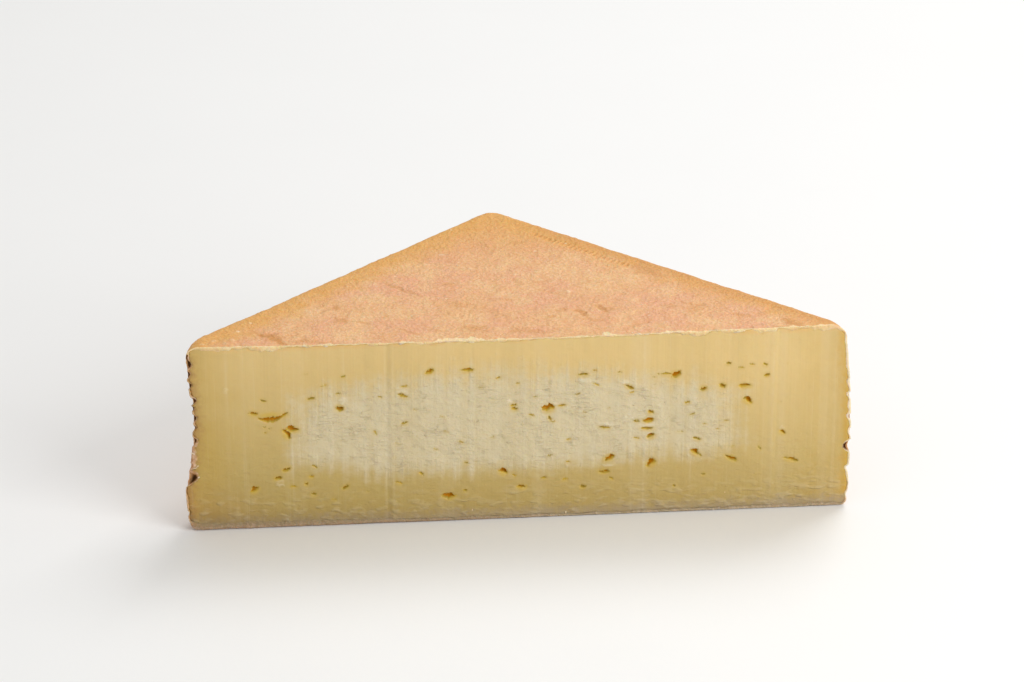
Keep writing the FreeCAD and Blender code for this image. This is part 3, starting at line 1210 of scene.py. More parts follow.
@dataclass(frozen=True)
class PasteFinish:
    """The paste: ripe straw yellow round a chalky cream core, dragged by the knife."""
    core: Colour = shade(0.66, 0.56, 0.355)
    rim_gold: Colour = shade(0.76, 0.45, 0.15)
    gold: Colour = shade(0.6, 0.4, 0.055)
    olive: Colour = shade(0.43, 0.3, 0.045)
    slit_shade: Colour = shade(0.33, 0.19, 0.02)
    deep: Colour = shade(0.54, 0.22, 0.006)
    chalk: Colour = shade(0.79, 0.7, 0.51)
    drag_tone_and_shade: Colour = shade(0.48, 0.35, 0.13)

    def core_mask(self, work: Finish) -> Wire:
        """Where the paste is still chalky, with a soft, uneven border.

        Args:
            work: the material under way.

        Returns:
            The mask.
        """
        stretched = work.place * (0.55, 1.0, 1.0)
        broad = stretched.noise(0.11, 2.0, 0.5).line(0.25, 0.75, -1.6, 1.6)
        ragged = stretched.noise(0.7, 4.0, 0.6).line(0.25, 0.75, -1.3, 1.3)
        strokes = (work.place * (1.0, 1.0, 0.02)).noise(0.45, 3.0, 0.6)
        within = work.kept("core") + (broad + ragged) + strokes.line(0.3, 0.7, -1.6, 1.6)
        return within.step(-3.6, 4.4) * strokes.line(0.3, 0.7, 0.8, 1.06)

    def cracks(self, work: Finish, core: Wire) -> Wire:
        """Fine level cracks between the curds of the core."""
        seams = ((work.place * (0.36, 1.0, 1.5)).noise(0.5, 4.0, 0.55, 0.2) - 0.5).sum("ABSOLUTE")
        return seams.step(0.0, 0.022, 1.0, 0.0) * (core * work.patches(5.0, 0.1, 0.56, 7.0))

    def smears(self, work: Finish, z: Wire) -> Wire:
        """Short slanting smears that the knife left along the foot.

        Args:
            work: the material under way.
            z: the height.

        Returns:
            The mask.
        """
        turned = work.put("ShaderNodeMapping", {
            "Vector": work.place, "Rotation": (0.0, math.radians(-20.0), 0.0), "Scale": (0.45, 1.0, 1.0)})
        low = (z + work.place.noise(0.1).line(0.3, 0.7, -3.0, 3.0)).step(3.0, 13.0, 1.0, 0.0)
        return turned.noise(0.75, 1.5, 0.5).step(0.45, 0.75) * low

    def slit_colour(self, work: Finish, colour: Wire, hollow: Wire) -> Wire:
        """The paste's colour with the slits: a golden halo and lining, then painted shade deeper in and amber
        depths.

        Args:
            work: the material under way.
            colour: the colour without them.
            hollow: how deep the slits are.

        Returns:
            The colour.
        """
        colour = colour.over(work.kept("halo") * 0.72, self.gold)
        lining = work.mix(work.patches(3.0, 0.1, 0.5, 23.0), self.gold, self.olive)
        colour = colour.over(hollow.step(0.03, 0.16, 0.0, 0.95), lining)
        uneven = hollow + work.place.noise(1.6, 3.0).line(0.35, 0.65, -0.1, 0.1)
        # Painted shade deeper in the slits, over their golden lining.
        colour = colour.over(uneven.step(0.24, 0.6, 0.0, 0.6), self.slit_shade)
        return colour.over(uneven.step(0.34, 0.7) * work.patches(2.2, 0.1, 0.4, 67.0), self.deep)

    def material(self, effects: Effects) -> Material:
        """Builds the material from the shared effects.

        Args:
            effects: the shared shader groups.

        Returns:
            The material.
        """
        work = Finish("cut_paste", effects)
        place, hollow, core = work.place, work.kept("hollow"), self.core_mask(work)
        z = place.axes()[2]
        colour = work.ripe().over(z.step(48.6, 50.2, 0.0, 0.65) * work.patches(8.0, 0.06, 0.5, 91.0), self.rim_gold)
        colour = colour.over(core, self.core)
        strokes = place * (1.0, 1.0, 0.012)
        bands, fine = strokes.noise(0.16, 2.0, 0.5), strokes.noise(1.6, 3.0, 0.6)
        fading = (place * (0.5, 1.0, 1.0)).noise(0.12, 2.0).line(0.35, 0.6, 0.25, 1.0)
        streak, crack, smear = work.kept("streak") * fading, self.cracks(work, core), self.smears(work, z)
        torn = (place * (0.5, 1.0, 1.4)).noise(1.3, 4.0).step(0.35, 0.6)
        torn = work.kept("chalk") * torn.line(0.0, 1.0, 0.15, 0.75)
        # Knife streaks in darker and paler tones that vary at random; the grooves and the cracks also take the
        # darker tone as painted shade.
        for share, tone in (
                (bands.step(0.52, 0.75, 0.0, 0.15), self.drag_tone_and_shade), (bands.step(0.48, 0.25, 0.0, 0.12), self.chalk),
                (fine.step(0.55, 0.8, 0.0, 0.15), self.drag_tone_and_shade), (fine.step(0.42, 0.2, 0.0, 0.14), self.chalk),
                (streak.line(0.0, 1.0, 0.0, 0.55), self.chalk), (streak.line(0.0, -1.0, 0.0, 0.45), self.drag_tone_and_shade),
                (crack * 0.2, self.drag_tone_and_shade), (torn, self.chalk), (smear * 0.14, self.chalk)):
            colour = colour.over(share, tone)
        colour = self.slit_colour(work, colour, hollow)
        curds = place * (0.58, 1.0, 1.1)
        rough = core.sum("MAXIMUM", z.step(30.0, 16.0, 0.0, 0.35))
        uneven = rough * work.patches(6.0, 0.2, 0.46, 77.0)
        normal = work.bump(fine * 0.35 - crack * 0.8, 0.12)
        normal = work.bump(curds.noise(0.55, 4.0, 0.6) * uneven.line(0.0, 1.0, 0.15, 1.0), 0.75, normal)
        normal = work.bump(work.dots(curds, 2.3, 0.4, 0.1) * rough, 0.12, normal)
        normal = work.bump(torn, 0.1, work.bump(smear, 0.22, normal))
        work.translucent(0.25, 1.6, 1.0, 0.4)
        return work.finished(colour, core.line(0.0, 1.0, 0.34, 0.6), normal,
                             **{"Specular IOR Level": hollow.line(0.02, 0.3, 0.42, 0.05)})


@dataclass(frozen=True)
class CrumbFinish:
    """Crumbs and torn flakes of pale curd."""
    cream: Colour = shade(0.9, 0.73, 0.48)
    straw: Colour = shade(0.82, 0.57, 0.3)

    def material(self, effects: Effects) -> Material:
        """Builds the material from the shared effects.

        Args:
            effects: the shared shader groups.

        Returns:
            The material.
        """
        work = Finish("torn_curd", effects)
        height, creases = work.skin(0.3)
        colour = work.mix(work.patches(2.4, 0.2, 0.5, 3.0), self.cream, self.straw)
        work.translucent(0.4, 2.0, 1.3, 0.6)
        # Straw in the crumbs' creases: painted shade.
        return work.finished(colour.over(creases * 0.25, self.straw), 0.5, work.bump(height, 0.06))


@dataclass(frozen=True)
class FloorFinish:
    """A plain pale floor."""
    tone: Colour = shade(0.86, 0.855, 0.84)
    worn: Colour = shade(0.8514, 0.84645, 0.8316)

    def material(self, effects: Effects) -> Material:
        """Builds the material from the shared effects."""
        work = Finish("floor", effects)
        return work.finished(work.mix(work.patches(60.0, 0.3), self.tone, self.worn), 0.6,
                             work.bump(work.place.noise(0.8), 0.02))


# ---- The rind ----


@dataclass(frozen=True)
class Pit:
    """A pit in the rind at one end of the cut."""
    end: End
    up: float
    height: float
    width: float
    depth: float
    pit_shade: float = 1.0


@dataclass(frozen=True)
class Torn:
    """A place along the top of the cut where the pale torn edge hangs lower or reaches over the top."""
    across: float
    width: float
    drop: float
    climb: float = 0.0
    bits: float = 0.0

    def share(self, form: Form, x: Array) -> Array:
        """How near each x is to the middle of the place, from 0 outside it to 1."""
        off = (x - form.across(self.across)) / (self.width / 2)
        return np.sqrt(np.clip(1.0 - off * off, 0.0, 1.0)) * (1 + 0.35 * wander(x, 0.9, int(self.width * 10)))


@dataclass
class Rind:
    """The rind: a closed shell over the top, the wall and the underside."""
    form: Form
    pits: tuple[Pit, ...] = tuple(Pit(end, *sizes) for end, rows in (
        (End.LEFT, (
            (0.925, 3, 2, 1.1), (0.805, 1.8, 1.6, 0.9), (0.72, 2, 1.6, 0.8), (0.625, 2.2, 1.7, 0.8),
            (0.29, 3.8, 3.4, 1.8), (0.962, 1.8, 1.5, 0.6), (0.865, 2.4, 1.7, 0.7), (0.68, 1.3, 1.2, 0.5),
            (0.575, 1.5, 1.2, 0.5), (0.505, 1.7, 1.3, 0.6), (0.4, 1.2, 1, 0.4, 0.4))),
        (End.RIGHT, (
            (0.62, 1.4, 1.1, 0.4, 0.3), (0.42, 1.6, 1.2, 0.5, 0.4), (0.21, 1.8, 1.4, 0.6, 0.2),
            (0.5, 1.8, 1.4, 0.6, 0.5), (0.335, 3.2, 2.6, 1.5)))) for sizes in rows)
    torn: tuple[Torn, ...] = tuple(Torn(*sizes) for sizes in (
        (0.014, 3, 0.3, 0.5, 0.3), (0.046, 8, 1, 0.2), (0.079, 3, 0.5, 0.6, 0.7), (0.125, 10, 1.4, 0.2),
        (0.178, 8, 0.2, 0.1), (0.213, 4.4, 0.1, 0.9, 0.2), (0.289, 5, 0.7, 0.5, 0.1), (0.333, 4, 0.1, 1, 0.4),
        (0.36, 4.5, 0.7), (0.413, 13, 0.2, 1.7, 0.9), (0.487, 11, 0.5, 0.7, 0.2), (0.55, 10, 0.2, 0.1),
        (0.594, 7, 0.2, 0.6), (0.635, 2.4, 0.1, 1.4, 1), (0.655, 7, 0.5, 0.5), (0.734, 6, 0.1, 0.9, 0.7),
        (0.762, 5.5, 0.6, 0.3), (0.775, 4.5, 1.2), (0.828, 6.5, 0.9, 0.3, 0.2), (0.876, 6.5, 1.4, 0.3),
        (0.918, 4, 0.8, 0.5, 0.3), (0.965, 11, 1.2, 0.4, 0.2)))
    mark_count: int = 21
    mark_pitch: float = 1.55
    mark_start: float = 16.0
    mark_inset: float = 8.0
    mark_length: float = 3.6
    mark_width: float = 1.1
    mark_depth: float = 0.42
    mark_fade: float = 0.45
    thickness: float = 1.4
    top_thickness: float = 0.85
    foot_thickness: float = 1.3
    foot_swell: float = 1.3         # how much thicker the foot's section grows towards the left end
    side_thickness: float = 0.7
    bulge_height: float = 20.0      # the middle of a thick place in the left end
    bulge_half: float = 7.0
    bulge_rise: float = 1.7
    edge_rows: int = 6
    lip_back: float = 0.9           # how far the section's inner side lies behind the cut
    inner_setback: float = 1.6      # how far behind the cut the rind's inner side starts
    raggedness: float = 0.55        # how deep the scallops of the walls are at the cut
    mark_shade: float = 0.35

    def climb(self, x: Array) -> Array:
        """How far the pale torn edge reaches over the top at each x.

        Args:
            x: the places along the cut.

        Returns:
            The reach at each one.
        """
        reach = 0.25 + 0.3 * wander(x, 2.4, 21)
        for torn in self.torn:
            reach = reach + 1.3 * torn.climb * torn.share(self.form, x)
        return reach

    def pit_hollows(self) -> list[Hollow]:
        """The pits where the cut meets the wall.

        Returns:
            Their hollows.
        """
        hollows = []
        for pit in self.pits:
            place = np.array([self.form.cut_end(pit.end, pit.up), 0.0, pit.up * self.form.thickness])
            hollows.append(Hollow(place, np.array([0.0, 0.0, 1.0]), np.array([0.0, 1.0, 0.0]),
                                  np.array([-pit.end.value, 0.0, 0.0]), pit.height, pit.width, pit.depth,
                                  pointed=1.0, pit_shade=pit.pit_shade))
        return hollows

    def mark_hollows(self) -> list[Hollow]:
        """The rack's marks on the top, longest in the middle of the row.

        Returns:
            Their hollows.
        """
        form = self.form
        along_wall = np.array([1.0, -1.0, 0.0]) / math.sqrt(2)
        outwards = np.array([1.0, 1.0, 0.0]) / math.sqrt(2)
        reach = form.cut_half - form.back_radius + form.swell_back[-1]
        start = np.array([0.0, reach, 0.0]) + outwards * (form.back_radius + form.wall_bow)
        hollows = []
        for i in range(self.mark_count):
            off_middle = abs(2 * i / (self.mark_count - 1) - 1)
            length = self.mark_length * (1 - self.mark_fade * off_middle ** 2)
            place = start + along_wall * (self.mark_start + i * self.mark_pitch) - outwards * self.mark_inset
            place[2] = form.top_height(place[0], place[1])
            # The marks' russet is painted shade in their hollows.
            hollows.append(Hollow(place, outwards, along_wall, np.array([0.0, 0.0, -1.0]),
                                  length, self.mark_width, self.mark_depth, stain_and_painted_light=self.mark_shade))
        return hollows

    def lip_share(self, z: Array) -> Array:
        """How much of the section at each height is lip."""
        return smooth(self.form.thickness - 3.5, self.form.thickness - 1.2, z)

    def bulging(self, loop: Array) -> Array:
        """How much of the bulge each point round the cut has."""
        rise = 1 - ((loop[:, 2] - self.bulge_height) / self.bulge_half) ** 2
        return (loop[:, 0] < 0) * np.clip(rise, 0.0, 1.0)

    def section(self, loop: Array) -> Array:
        """How thick the rind's section is at each point round the cut.

        Args:
            loop: the points round the cut, one row each.

        Returns:
            The thickness at each one.
        """
        form = self.form
        x, z = loop[:, 0], loop[:, 2]
        travel = np.concatenate([[0.0], np.cumsum(np.linalg.norm(np.diff(loop, axis=0), axis=1))])
        top, foot = self.lip_share(z), smooth(3.2, 0.8, z)
        side = self.side_thickness + 0.35 * wander(travel, 2.2, 5) + 0.25 * wander(travel, 0.8, 6)
        side = side + self.bulge_rise * self.bulging(loop)
        side = side + (x > 0) * (0.3 * smooth(6.0, 16.0, z) + 0.4 * smooth(20.0, 40.0, z))
        lip = self.top_thickness + 0.22 * wander(x, 3.1, 8) + 0.26 * wander(x, 1.0, 9)
        for torn in self.torn:
            lip = lip + 1.2 * torn.drop * torn.share(form, x)
        sole = (self.foot_thickness + self.foot_swell * smooth(10.0, -80.0, x)
                + 0.3 * wander(x, 4.0, 12) + 0.25 * wander(x, 1.1, 13))
        return np.clip(side * (1 - top) * (1 - foot) + lip * top + sole * foot, 0.2, 3.2)

    def inner_ways(self, loop: Array) -> Array:
        """The way into the section at each point round the cut.

        Args:
            loop: the points, one row each.

        Returns:
            A step of length 1 for each one.
        """
        ahead = np.roll(loop, -2, axis=0) - np.roll(loop, 2, axis=0)
        ways = np.stack([ahead[:, 2], 0 * ahead[:, 0], -ahead[:, 0]], axis=1)
        return ways / np.linalg.norm(ways, axis=1, keepdims=True)

    def build(self, material: Material) -> tuple[Thing, Array, Array]:
        """Builds and dresses the rind.

        Args:
            material: its finish.

        Returns:
            The rind, the points round the cut before they were pitted, and the section's thickness.
        """
        form = self.form
        patchwork = Patchwork("skin", "edge", "deep", "pit", "from_wall", "from_end", "lip", "crown", "stain_and_painted_light",
                              "climb", "between")
        skin = Skin(form, hollows=self.pit_hollows() + self.mark_hollows(), blemishes=BLEMISHES,
                    ragged=self.raggedness, climb=self.climb)
        outer = skin.build(patchwork)
        inner = Skin.coarse(form, self.thickness, self.inner_setback).build(patchwork)
        loop = patchwork.points[outer]
        ways, thick = self.inner_ways(loop), self.section(loop)
        top = self.lip_share(loop[:, 2])
        bits = 0.05 + sum(torn.bits * torn.share(form, loop[:, 0]) for torn in self.torn)
        pit = patchwork.marks["pit"][outer]
        rough = 0.5 * self.bulging(loop)
        rows = [outer]
        for share in np.arange(1, self.edge_rows + 1) / self.edge_rows:
            points = loop + ways * (thick * share)[:, None]
            points[:, 1] += self.lip_back * share ** 4 + pit * (1 - share) * 0.6
            rows.append(patchwork.place(points, skin=0.35, edge=1.0, deep=share * (1 - top) + 0.25 * top,
                                        lip=top * bits + rough, pit=pit * (1 - share) ** 2,
                                        between=top * 4 * share * (1 - share) * smooth(0.9, 1.5, thick),
                                        from_end=form.from_end(points)))
        ids = np.array(rows)
        patchwork.weave(np.concatenate([ids, ids[:, :1]], axis=1))
        patchwork.zip(ids[-1], inner)
        patchwork.marks["edge"][outer] = 0.5 + 0.4 * (1 - top)
        patchwork.marks["deep"][outer] = 0.25 * top
        rind = patchwork.mesh("rind", form.origin)
        grown(rind, self.relief_tree(), {
            "Swell Depth": 0.3 * MM, "Lump Depth": 0.22 * MM, "Wrinkle Depth": 0.16 * MM, "Finish": material})
        return rind, loop, thick

    @staticmethod
    def relief_tree() -> Tree:
        """The relief of the skin: broad swells, lumps and wrinkles, all pressed inwards.

        Returns:
            The group.
        """
        wiring, given, taken = open_shaping("rind_relief", {
            "Swell Depth": 0.0003, "Lump Depth": 0.0002, "Wrinkle Depth": 0.0001})
        place = wiring.put("GeometryNodeInputPosition") * TO_MM
        ridged = (place.noise(0.62, 2.0, 0.5, 0.4) - 0.5).sum("ABSOLUTE")
        total = place.noise(0.07, 2.0).line(0.25, 0.75) * given["Swell Depth"]
        total += place.noise(0.26, 3.0).line(0.25, 0.75) * given["Lump Depth"]
        total += ridged.line(0.0, 0.25, 1.0, 0.0) * given["Wrinkle Depth"]
        total *= wiring.field("skin")
        offset = wiring.put("GeometryNodeInputNormal").times(total * -1.0)
        moved = wiring.put("GeometryNodeSetPosition", {"Geometry": given["Geometry"], "Offset": offset})
        return close_shaping(wiring, moved, given, taken)


# ---- The paste ----


@dataclass(frozen=True)
class Slit:
    """A slit with pointed ends in the cut: its place in shares of the cut, its size and its turn.

    The bend lifts its middle or lets it sag, and the lean carries its widest part to one end.
    """
    across: float
    up: float
    length: float
    height: float
    tilt: float = 0.0
    bend: float = 0.0
    lean: float = 0.0


SLITS = tuple(Slit(*sizes) for sizes in (
    # the left end: a long sagging slit with its two tips, and a forked pocket beside it
    (0.1, 0.636, 3, 1.1, -8), (0.124, 0.624, 7.8, 1.5, 2, -0.9), (0.146, 0.624, 3, 0.9, 34),
    (0.159, 0.54, 4.2, 1.7, -4, 0.1, -0.5), (0.148, 0.514, 4.2, 1.3, -56, 0.2, -0.2),
    (0.115, 0.707, 2.2, 0.6, -10), (0.187, 0.708, 2.8, 0.7, 12), (0.206, 0.776, 3, 0.35, 12),
    (0.236, 0.821, 1.6, 0.5, 10), (0.228, 0.73, 1.8, 0.4, 8), (0.23, 0.651, 2.8, 1.5, -14, 0, 0.3),
    (0.148, 0.322, 3.2, 1, 24), (0.134, 0.274, 2.6, 1, 2), (0.099, 0.214, 3.2, 1.3, 36, 0, -0.4),
    (0.157, 0.224, 3.2, 0.5, -4), (0.185, 0.276, 1.7, 0.7, 0), (0.177, 0.238, 1.1, 0.9, 0),
    (0.188, 0.175, 1.7, 0.7, -8), (0.19, 0.33, 2.4, 0.5, -35), (0.237, 0.212, 2.8, 0.9, 34, 0, -0.5),
    (0.116, 0.56, 0.9, 0.4, 8), (0.124, 0.55, 1.1, 0.3, 0), (0.117, 0.532, 1, 0.4, 5),
    (0.219, 0.142, 1.8, 0.4, -8),
    # under the top, along the edge of the ripened paste
    (0.366, 0.835, 3.2, 1.1, 28, 0, 0.3), (0.423, 0.833, 4.4, 0.9, -3, 0.15), (0.328, 0.759, 2.6, 0.5, 6),
    (0.323, 0.716, 2.4, 0.7, -4), (0.328, 0.7, 3.2, 0.6, -6), (0.471, 0.784, 1.8, 0.5, 24),
    (0.5, 0.752, 1.2, 0.5, 0), (0.599, 0.785, 4, 0.8, 0, 0.2), (0.617, 0.806, 1.4, 0.5, 0),
    (0.619, 0.729, 3.2, 0.4, -22), (0.655, 0.79, 1.4, 0.4, 0), (0.67, 0.71, 3.4, 0.9, -28, 0, 0.6),
    (0.674, 0.678, 2.2, 0.4, 12), (0.726, 0.772, 6.4, 0.6, -2, 0.1, 0.6), (0.741, 0.768, 3.4, 2.1, 24, 0, 0.4),
    (0.821, 0.817, 1.6, 0.7, 0), (0.84, 0.792, 1.9, 0.5, -4), (0.857, 0.806, 1.6, 0.4, 0),
    (0.783, 0.686, 2.2, 1.2, 16), (0.813, 0.698, 2.2, 1.1, -10), (0.848, 0.692, 4.2, 1.2, -2, 0.1),
    (0.851, 0.608, 3.4, 1.7, -42), (0.88, 0.748, 1.8, 0.9, 20), (0.877, 0.804, 1.5, 0.7, -20),
    # the middle
    (0.547, 0.606, 4, 2.7, 10, 0, -0.2), (0.549, 0.553, 2.2, 0.7, -60), (0.494, 0.631, 2.2, 0.8, 4),
    (0.495, 0.61, 2.2, 0.8, -6), (0.567, 0.622, 3.4, 0.6, 4), (0.521, 0.572, 2.4, 0.4, -20),
    (0.553, 0.535, 1.6, 0.4, -10), (0.328, 0.555, 2.6, 0.6, 24), (0.703, 0.563, 2, 0.9, -24),
    (0.699, 0.521, 3.8, 1.3, 6, 0, 0.5), (0.682, 0.52, 2, 0.6, -10), (0.698, 0.474, 4.8, 0.8, -2, 0.2),
    (0.704, 0.43, 2.6, 1.2, 14), (0.632, 0.49, 4.6, 0.6, -8), (0.775, 0.407, 3.2, 0.7, -20),
    (0.749, 0.45, 3.2, 0.3, -4), (0.682, 0.425, 3, 0.4, -10), (0.578, 0.43, 2.2, 0.4, 10),
    (0.283, 0.507, 1.8, 0.5, -60),
    # the right end
    (0.92, 0.27, 5.2, 0.9, -16, 0.1, 0.3), (0.906, 0.424, 2.4, 1, -34), (0.871, 0.343, 1.8, 0.5, -50),
    # the lower band of ripened paste
    (0.64, 0.322, 3.8, 1.5, 34, 0, 0.3), (0.632, 0.245, 4, 1, -2, -0.2, 0.2), (0.643, 0.204, 1.6, 0.6, -40),
    (0.705, 0.279, 3.6, 1.8, 36, 0.1, 0.1), (0.771, 0.331, 3.2, 1.3, -38, 0, -0.3),
    (0.779, 0.316, 1.6, 0.5, -50), (0.828, 0.293, 4.6, 1.2, -28, 0, 0.4), (0.572, 0.207, 2, 0.5, 4),
    (0.6, 0.16, 1.8, 0.8, 0), (0.54, 0.219, 1.8, 0.6, 10), (0.477, 0.262, 3, 1.6, -24, 0, -0.2),
    (0.494, 0.242, 1.6, 0.5, -30), (0.394, 0.138, 4.4, 1.8, -4, 0, -0.2), (0.419, 0.168, 1.2, 0.7, 0),
    (0.352, 0.27, 2, 0.6, -40), (0.318, 0.224, 2.6, 0.6, -16), (0.506, 0.174, 3.2, 1.2, -4),
    (0.549, 0.345, 1.8, 0.4, 6), (0.577, 0.306, 1.6, 0.4, 0), (0.421, 0.325, 1.2, 0.6, 0),
    (0.786, 0.205, 1.2, 0.6, 0), (0.741, 0.15, 1, 0.6, 0)))


@dataclass(frozen=True)
class Scuff:
    """A raised, paler patch that the knife pulled up."""
    across: float
    up: float
    width: float
    height: float
    tilt: float = 0.0
    rise: float = 0.15
    pale: float = 0.5


SCUFFS = tuple(Scuff(*sizes) for sizes in (
    (0.234, 0.692, 2.2, 2.2, 5, 0.12, 0.6), (0.322, 0.736, 3.6, 2.4, 25, 0.1, 0.5),
    (0.699, 0.497, 4.6, 1.1, 2, 0.16, 1), (0.599, 0.757, 4.6, 1, -6, 0.14, 1),
    (0.662, 0.735, 3.4, 1.3, -25, 0.14, 0.7), (0.638, 0.283, 3.8, 0.9, 0, 0.1, 0.6),
    (0.136, 0.243, 2.8, 2.4, -4, 0.12, 0.45), (0.667, 0.534, 3.4, 1.4, -12, 0.16, 1),
    (0.635, 0.51, 4.6, 1, -6, 0.14, 0.8), (0.905, 0.45, 1.8, 1, 10, 0.08, 0.4),
    (0.487, 0.656, 1.7, 0.9, 0, 0.1, 0.9), (0.058, 0.77, 1.8, 1.4, 40, 0.1, 0.4),
    (0.549, 0.626, 4, 0.6, 8, 0.06, 0.6), (0.582, 0.655, 1.6, 1.2, 0, 0.12, 0.8)))


class Opening:
    """One slit's own uneven hollow in the cut."""

    def __init__(self, form: Form, slit: Slit, number: int) -> None:
        """Gives the slit its own bend and ragged edges.

        Args:
            form: the cheese's shape.
            slit: the slit.
            number: which slit it is, so that each has its own unevenness.
        """
        rng = np.random.default_rng(1000 + number)
        self.slit = slit
        self.bend = slit.bend or rng.uniform(-0.25, 0.25)
        self.lean = slit.lean or rng.uniform(-0.6, 0.6)
        self.seeds = rng.integers(1 << 20, size=2).tolist()
        tilt = math.radians(slit.tilt)
        self.turn = np.array([[math.cos(tilt), math.sin(tilt)], [-math.sin(tilt), math.cos(tilt)]])
        self.middle = np.array([form.across(slit.across), slit.up * form.thickness])

    def edges(self, u: Array) -> tuple[Array, Array, Array]:
        """The deepest line and the upper and lower lips, in millimetres, for places along the slit.

        Args:
            u: the places, from -1 at one tip to 1 at the other.

        Returns:
            The three heights at each one.
        """
        room = np.clip(1 - u * u, 0.0, 1.0) ** 1.3 * (1 + self.lean * u) ** 1.8
        knots = max(1.5, self.slit.length / 1.2)
        upper, lower = (0.5 * room * (1 + 0.45 * wander(u * knots, 1.0, seed) + 0.25 * wander(u * knots, 0.35, seed))
                        for seed in self.seeds)
        spine = self.bend * (1 - u * u)
        floor = spine + 0.4 * upper
        return floor * self.slit.height, (spine + upper) * self.slit.height, (spine - lower) * self.slit.height

    def outline(self, level: float) -> Array:
        """One ring of places round the slit, in x and z, from its floor at 0 to its lips at 1.

        Args:
            level: which ring.

        Returns:
            The places, one row each.
        """
        steps = max(5, round(self.slit.length / 0.32))
        u = np.sin(np.linspace(-0.5, 0.5, steps + 1) * math.pi) * (0.35 + 0.65 * level)
        floor, upper, lower = self.edges(u)
        ring = np.concatenate([
            np.stack([u * self.slit.length / 2, floor + (upper - floor) * level], axis=1),
            np.stack([u * self.slit.length / 2, floor + (lower - floor) * level], axis=1)[-2:0:-1]])
        return ring @ self.turn + self.middle

    def depth(self, places: Array) -> tuple[Array, Array]:
        """How deep the slit is, and how golden it makes the paste, at places on the cut.

        Args:
            places: the places, in x and z.

        Returns:
            The depth and the gold at each one.
        """
        offset = (places - self.middle) @ self.turn.T
        u = offset[:, 0] / (self.slit.length / 2)
        found = np.zeros(len(places))
        away = np.hypot(u / (1 + 1.0 / self.slit.length), offset[:, 1] / (0.5 * self.slit.height + 0.75))
        halo = smooth(1.0, 0.3, away) * min(1.0, 0.9 * self.slit.height)
        on = np.abs(u) < 1.0
        floor, upper, lower = self.edges(u[on])
        w = offset[on, 1]
        side = np.where(w > floor, upper - floor, floor - lower)
        level = np.abs(w - floor) / np.maximum(side, 1e-6)
        steep = np.where(w > floor, smooth(1.0, 0.45, level), smooth(1.0, 0.0, level))
        reach = min(0.62 * self.slit.height, 1.0)
        found[on] = np.where(level < 1.0, reach * steep * np.sqrt(1 - u[on] ** 2), 0.0)
        return found, halo


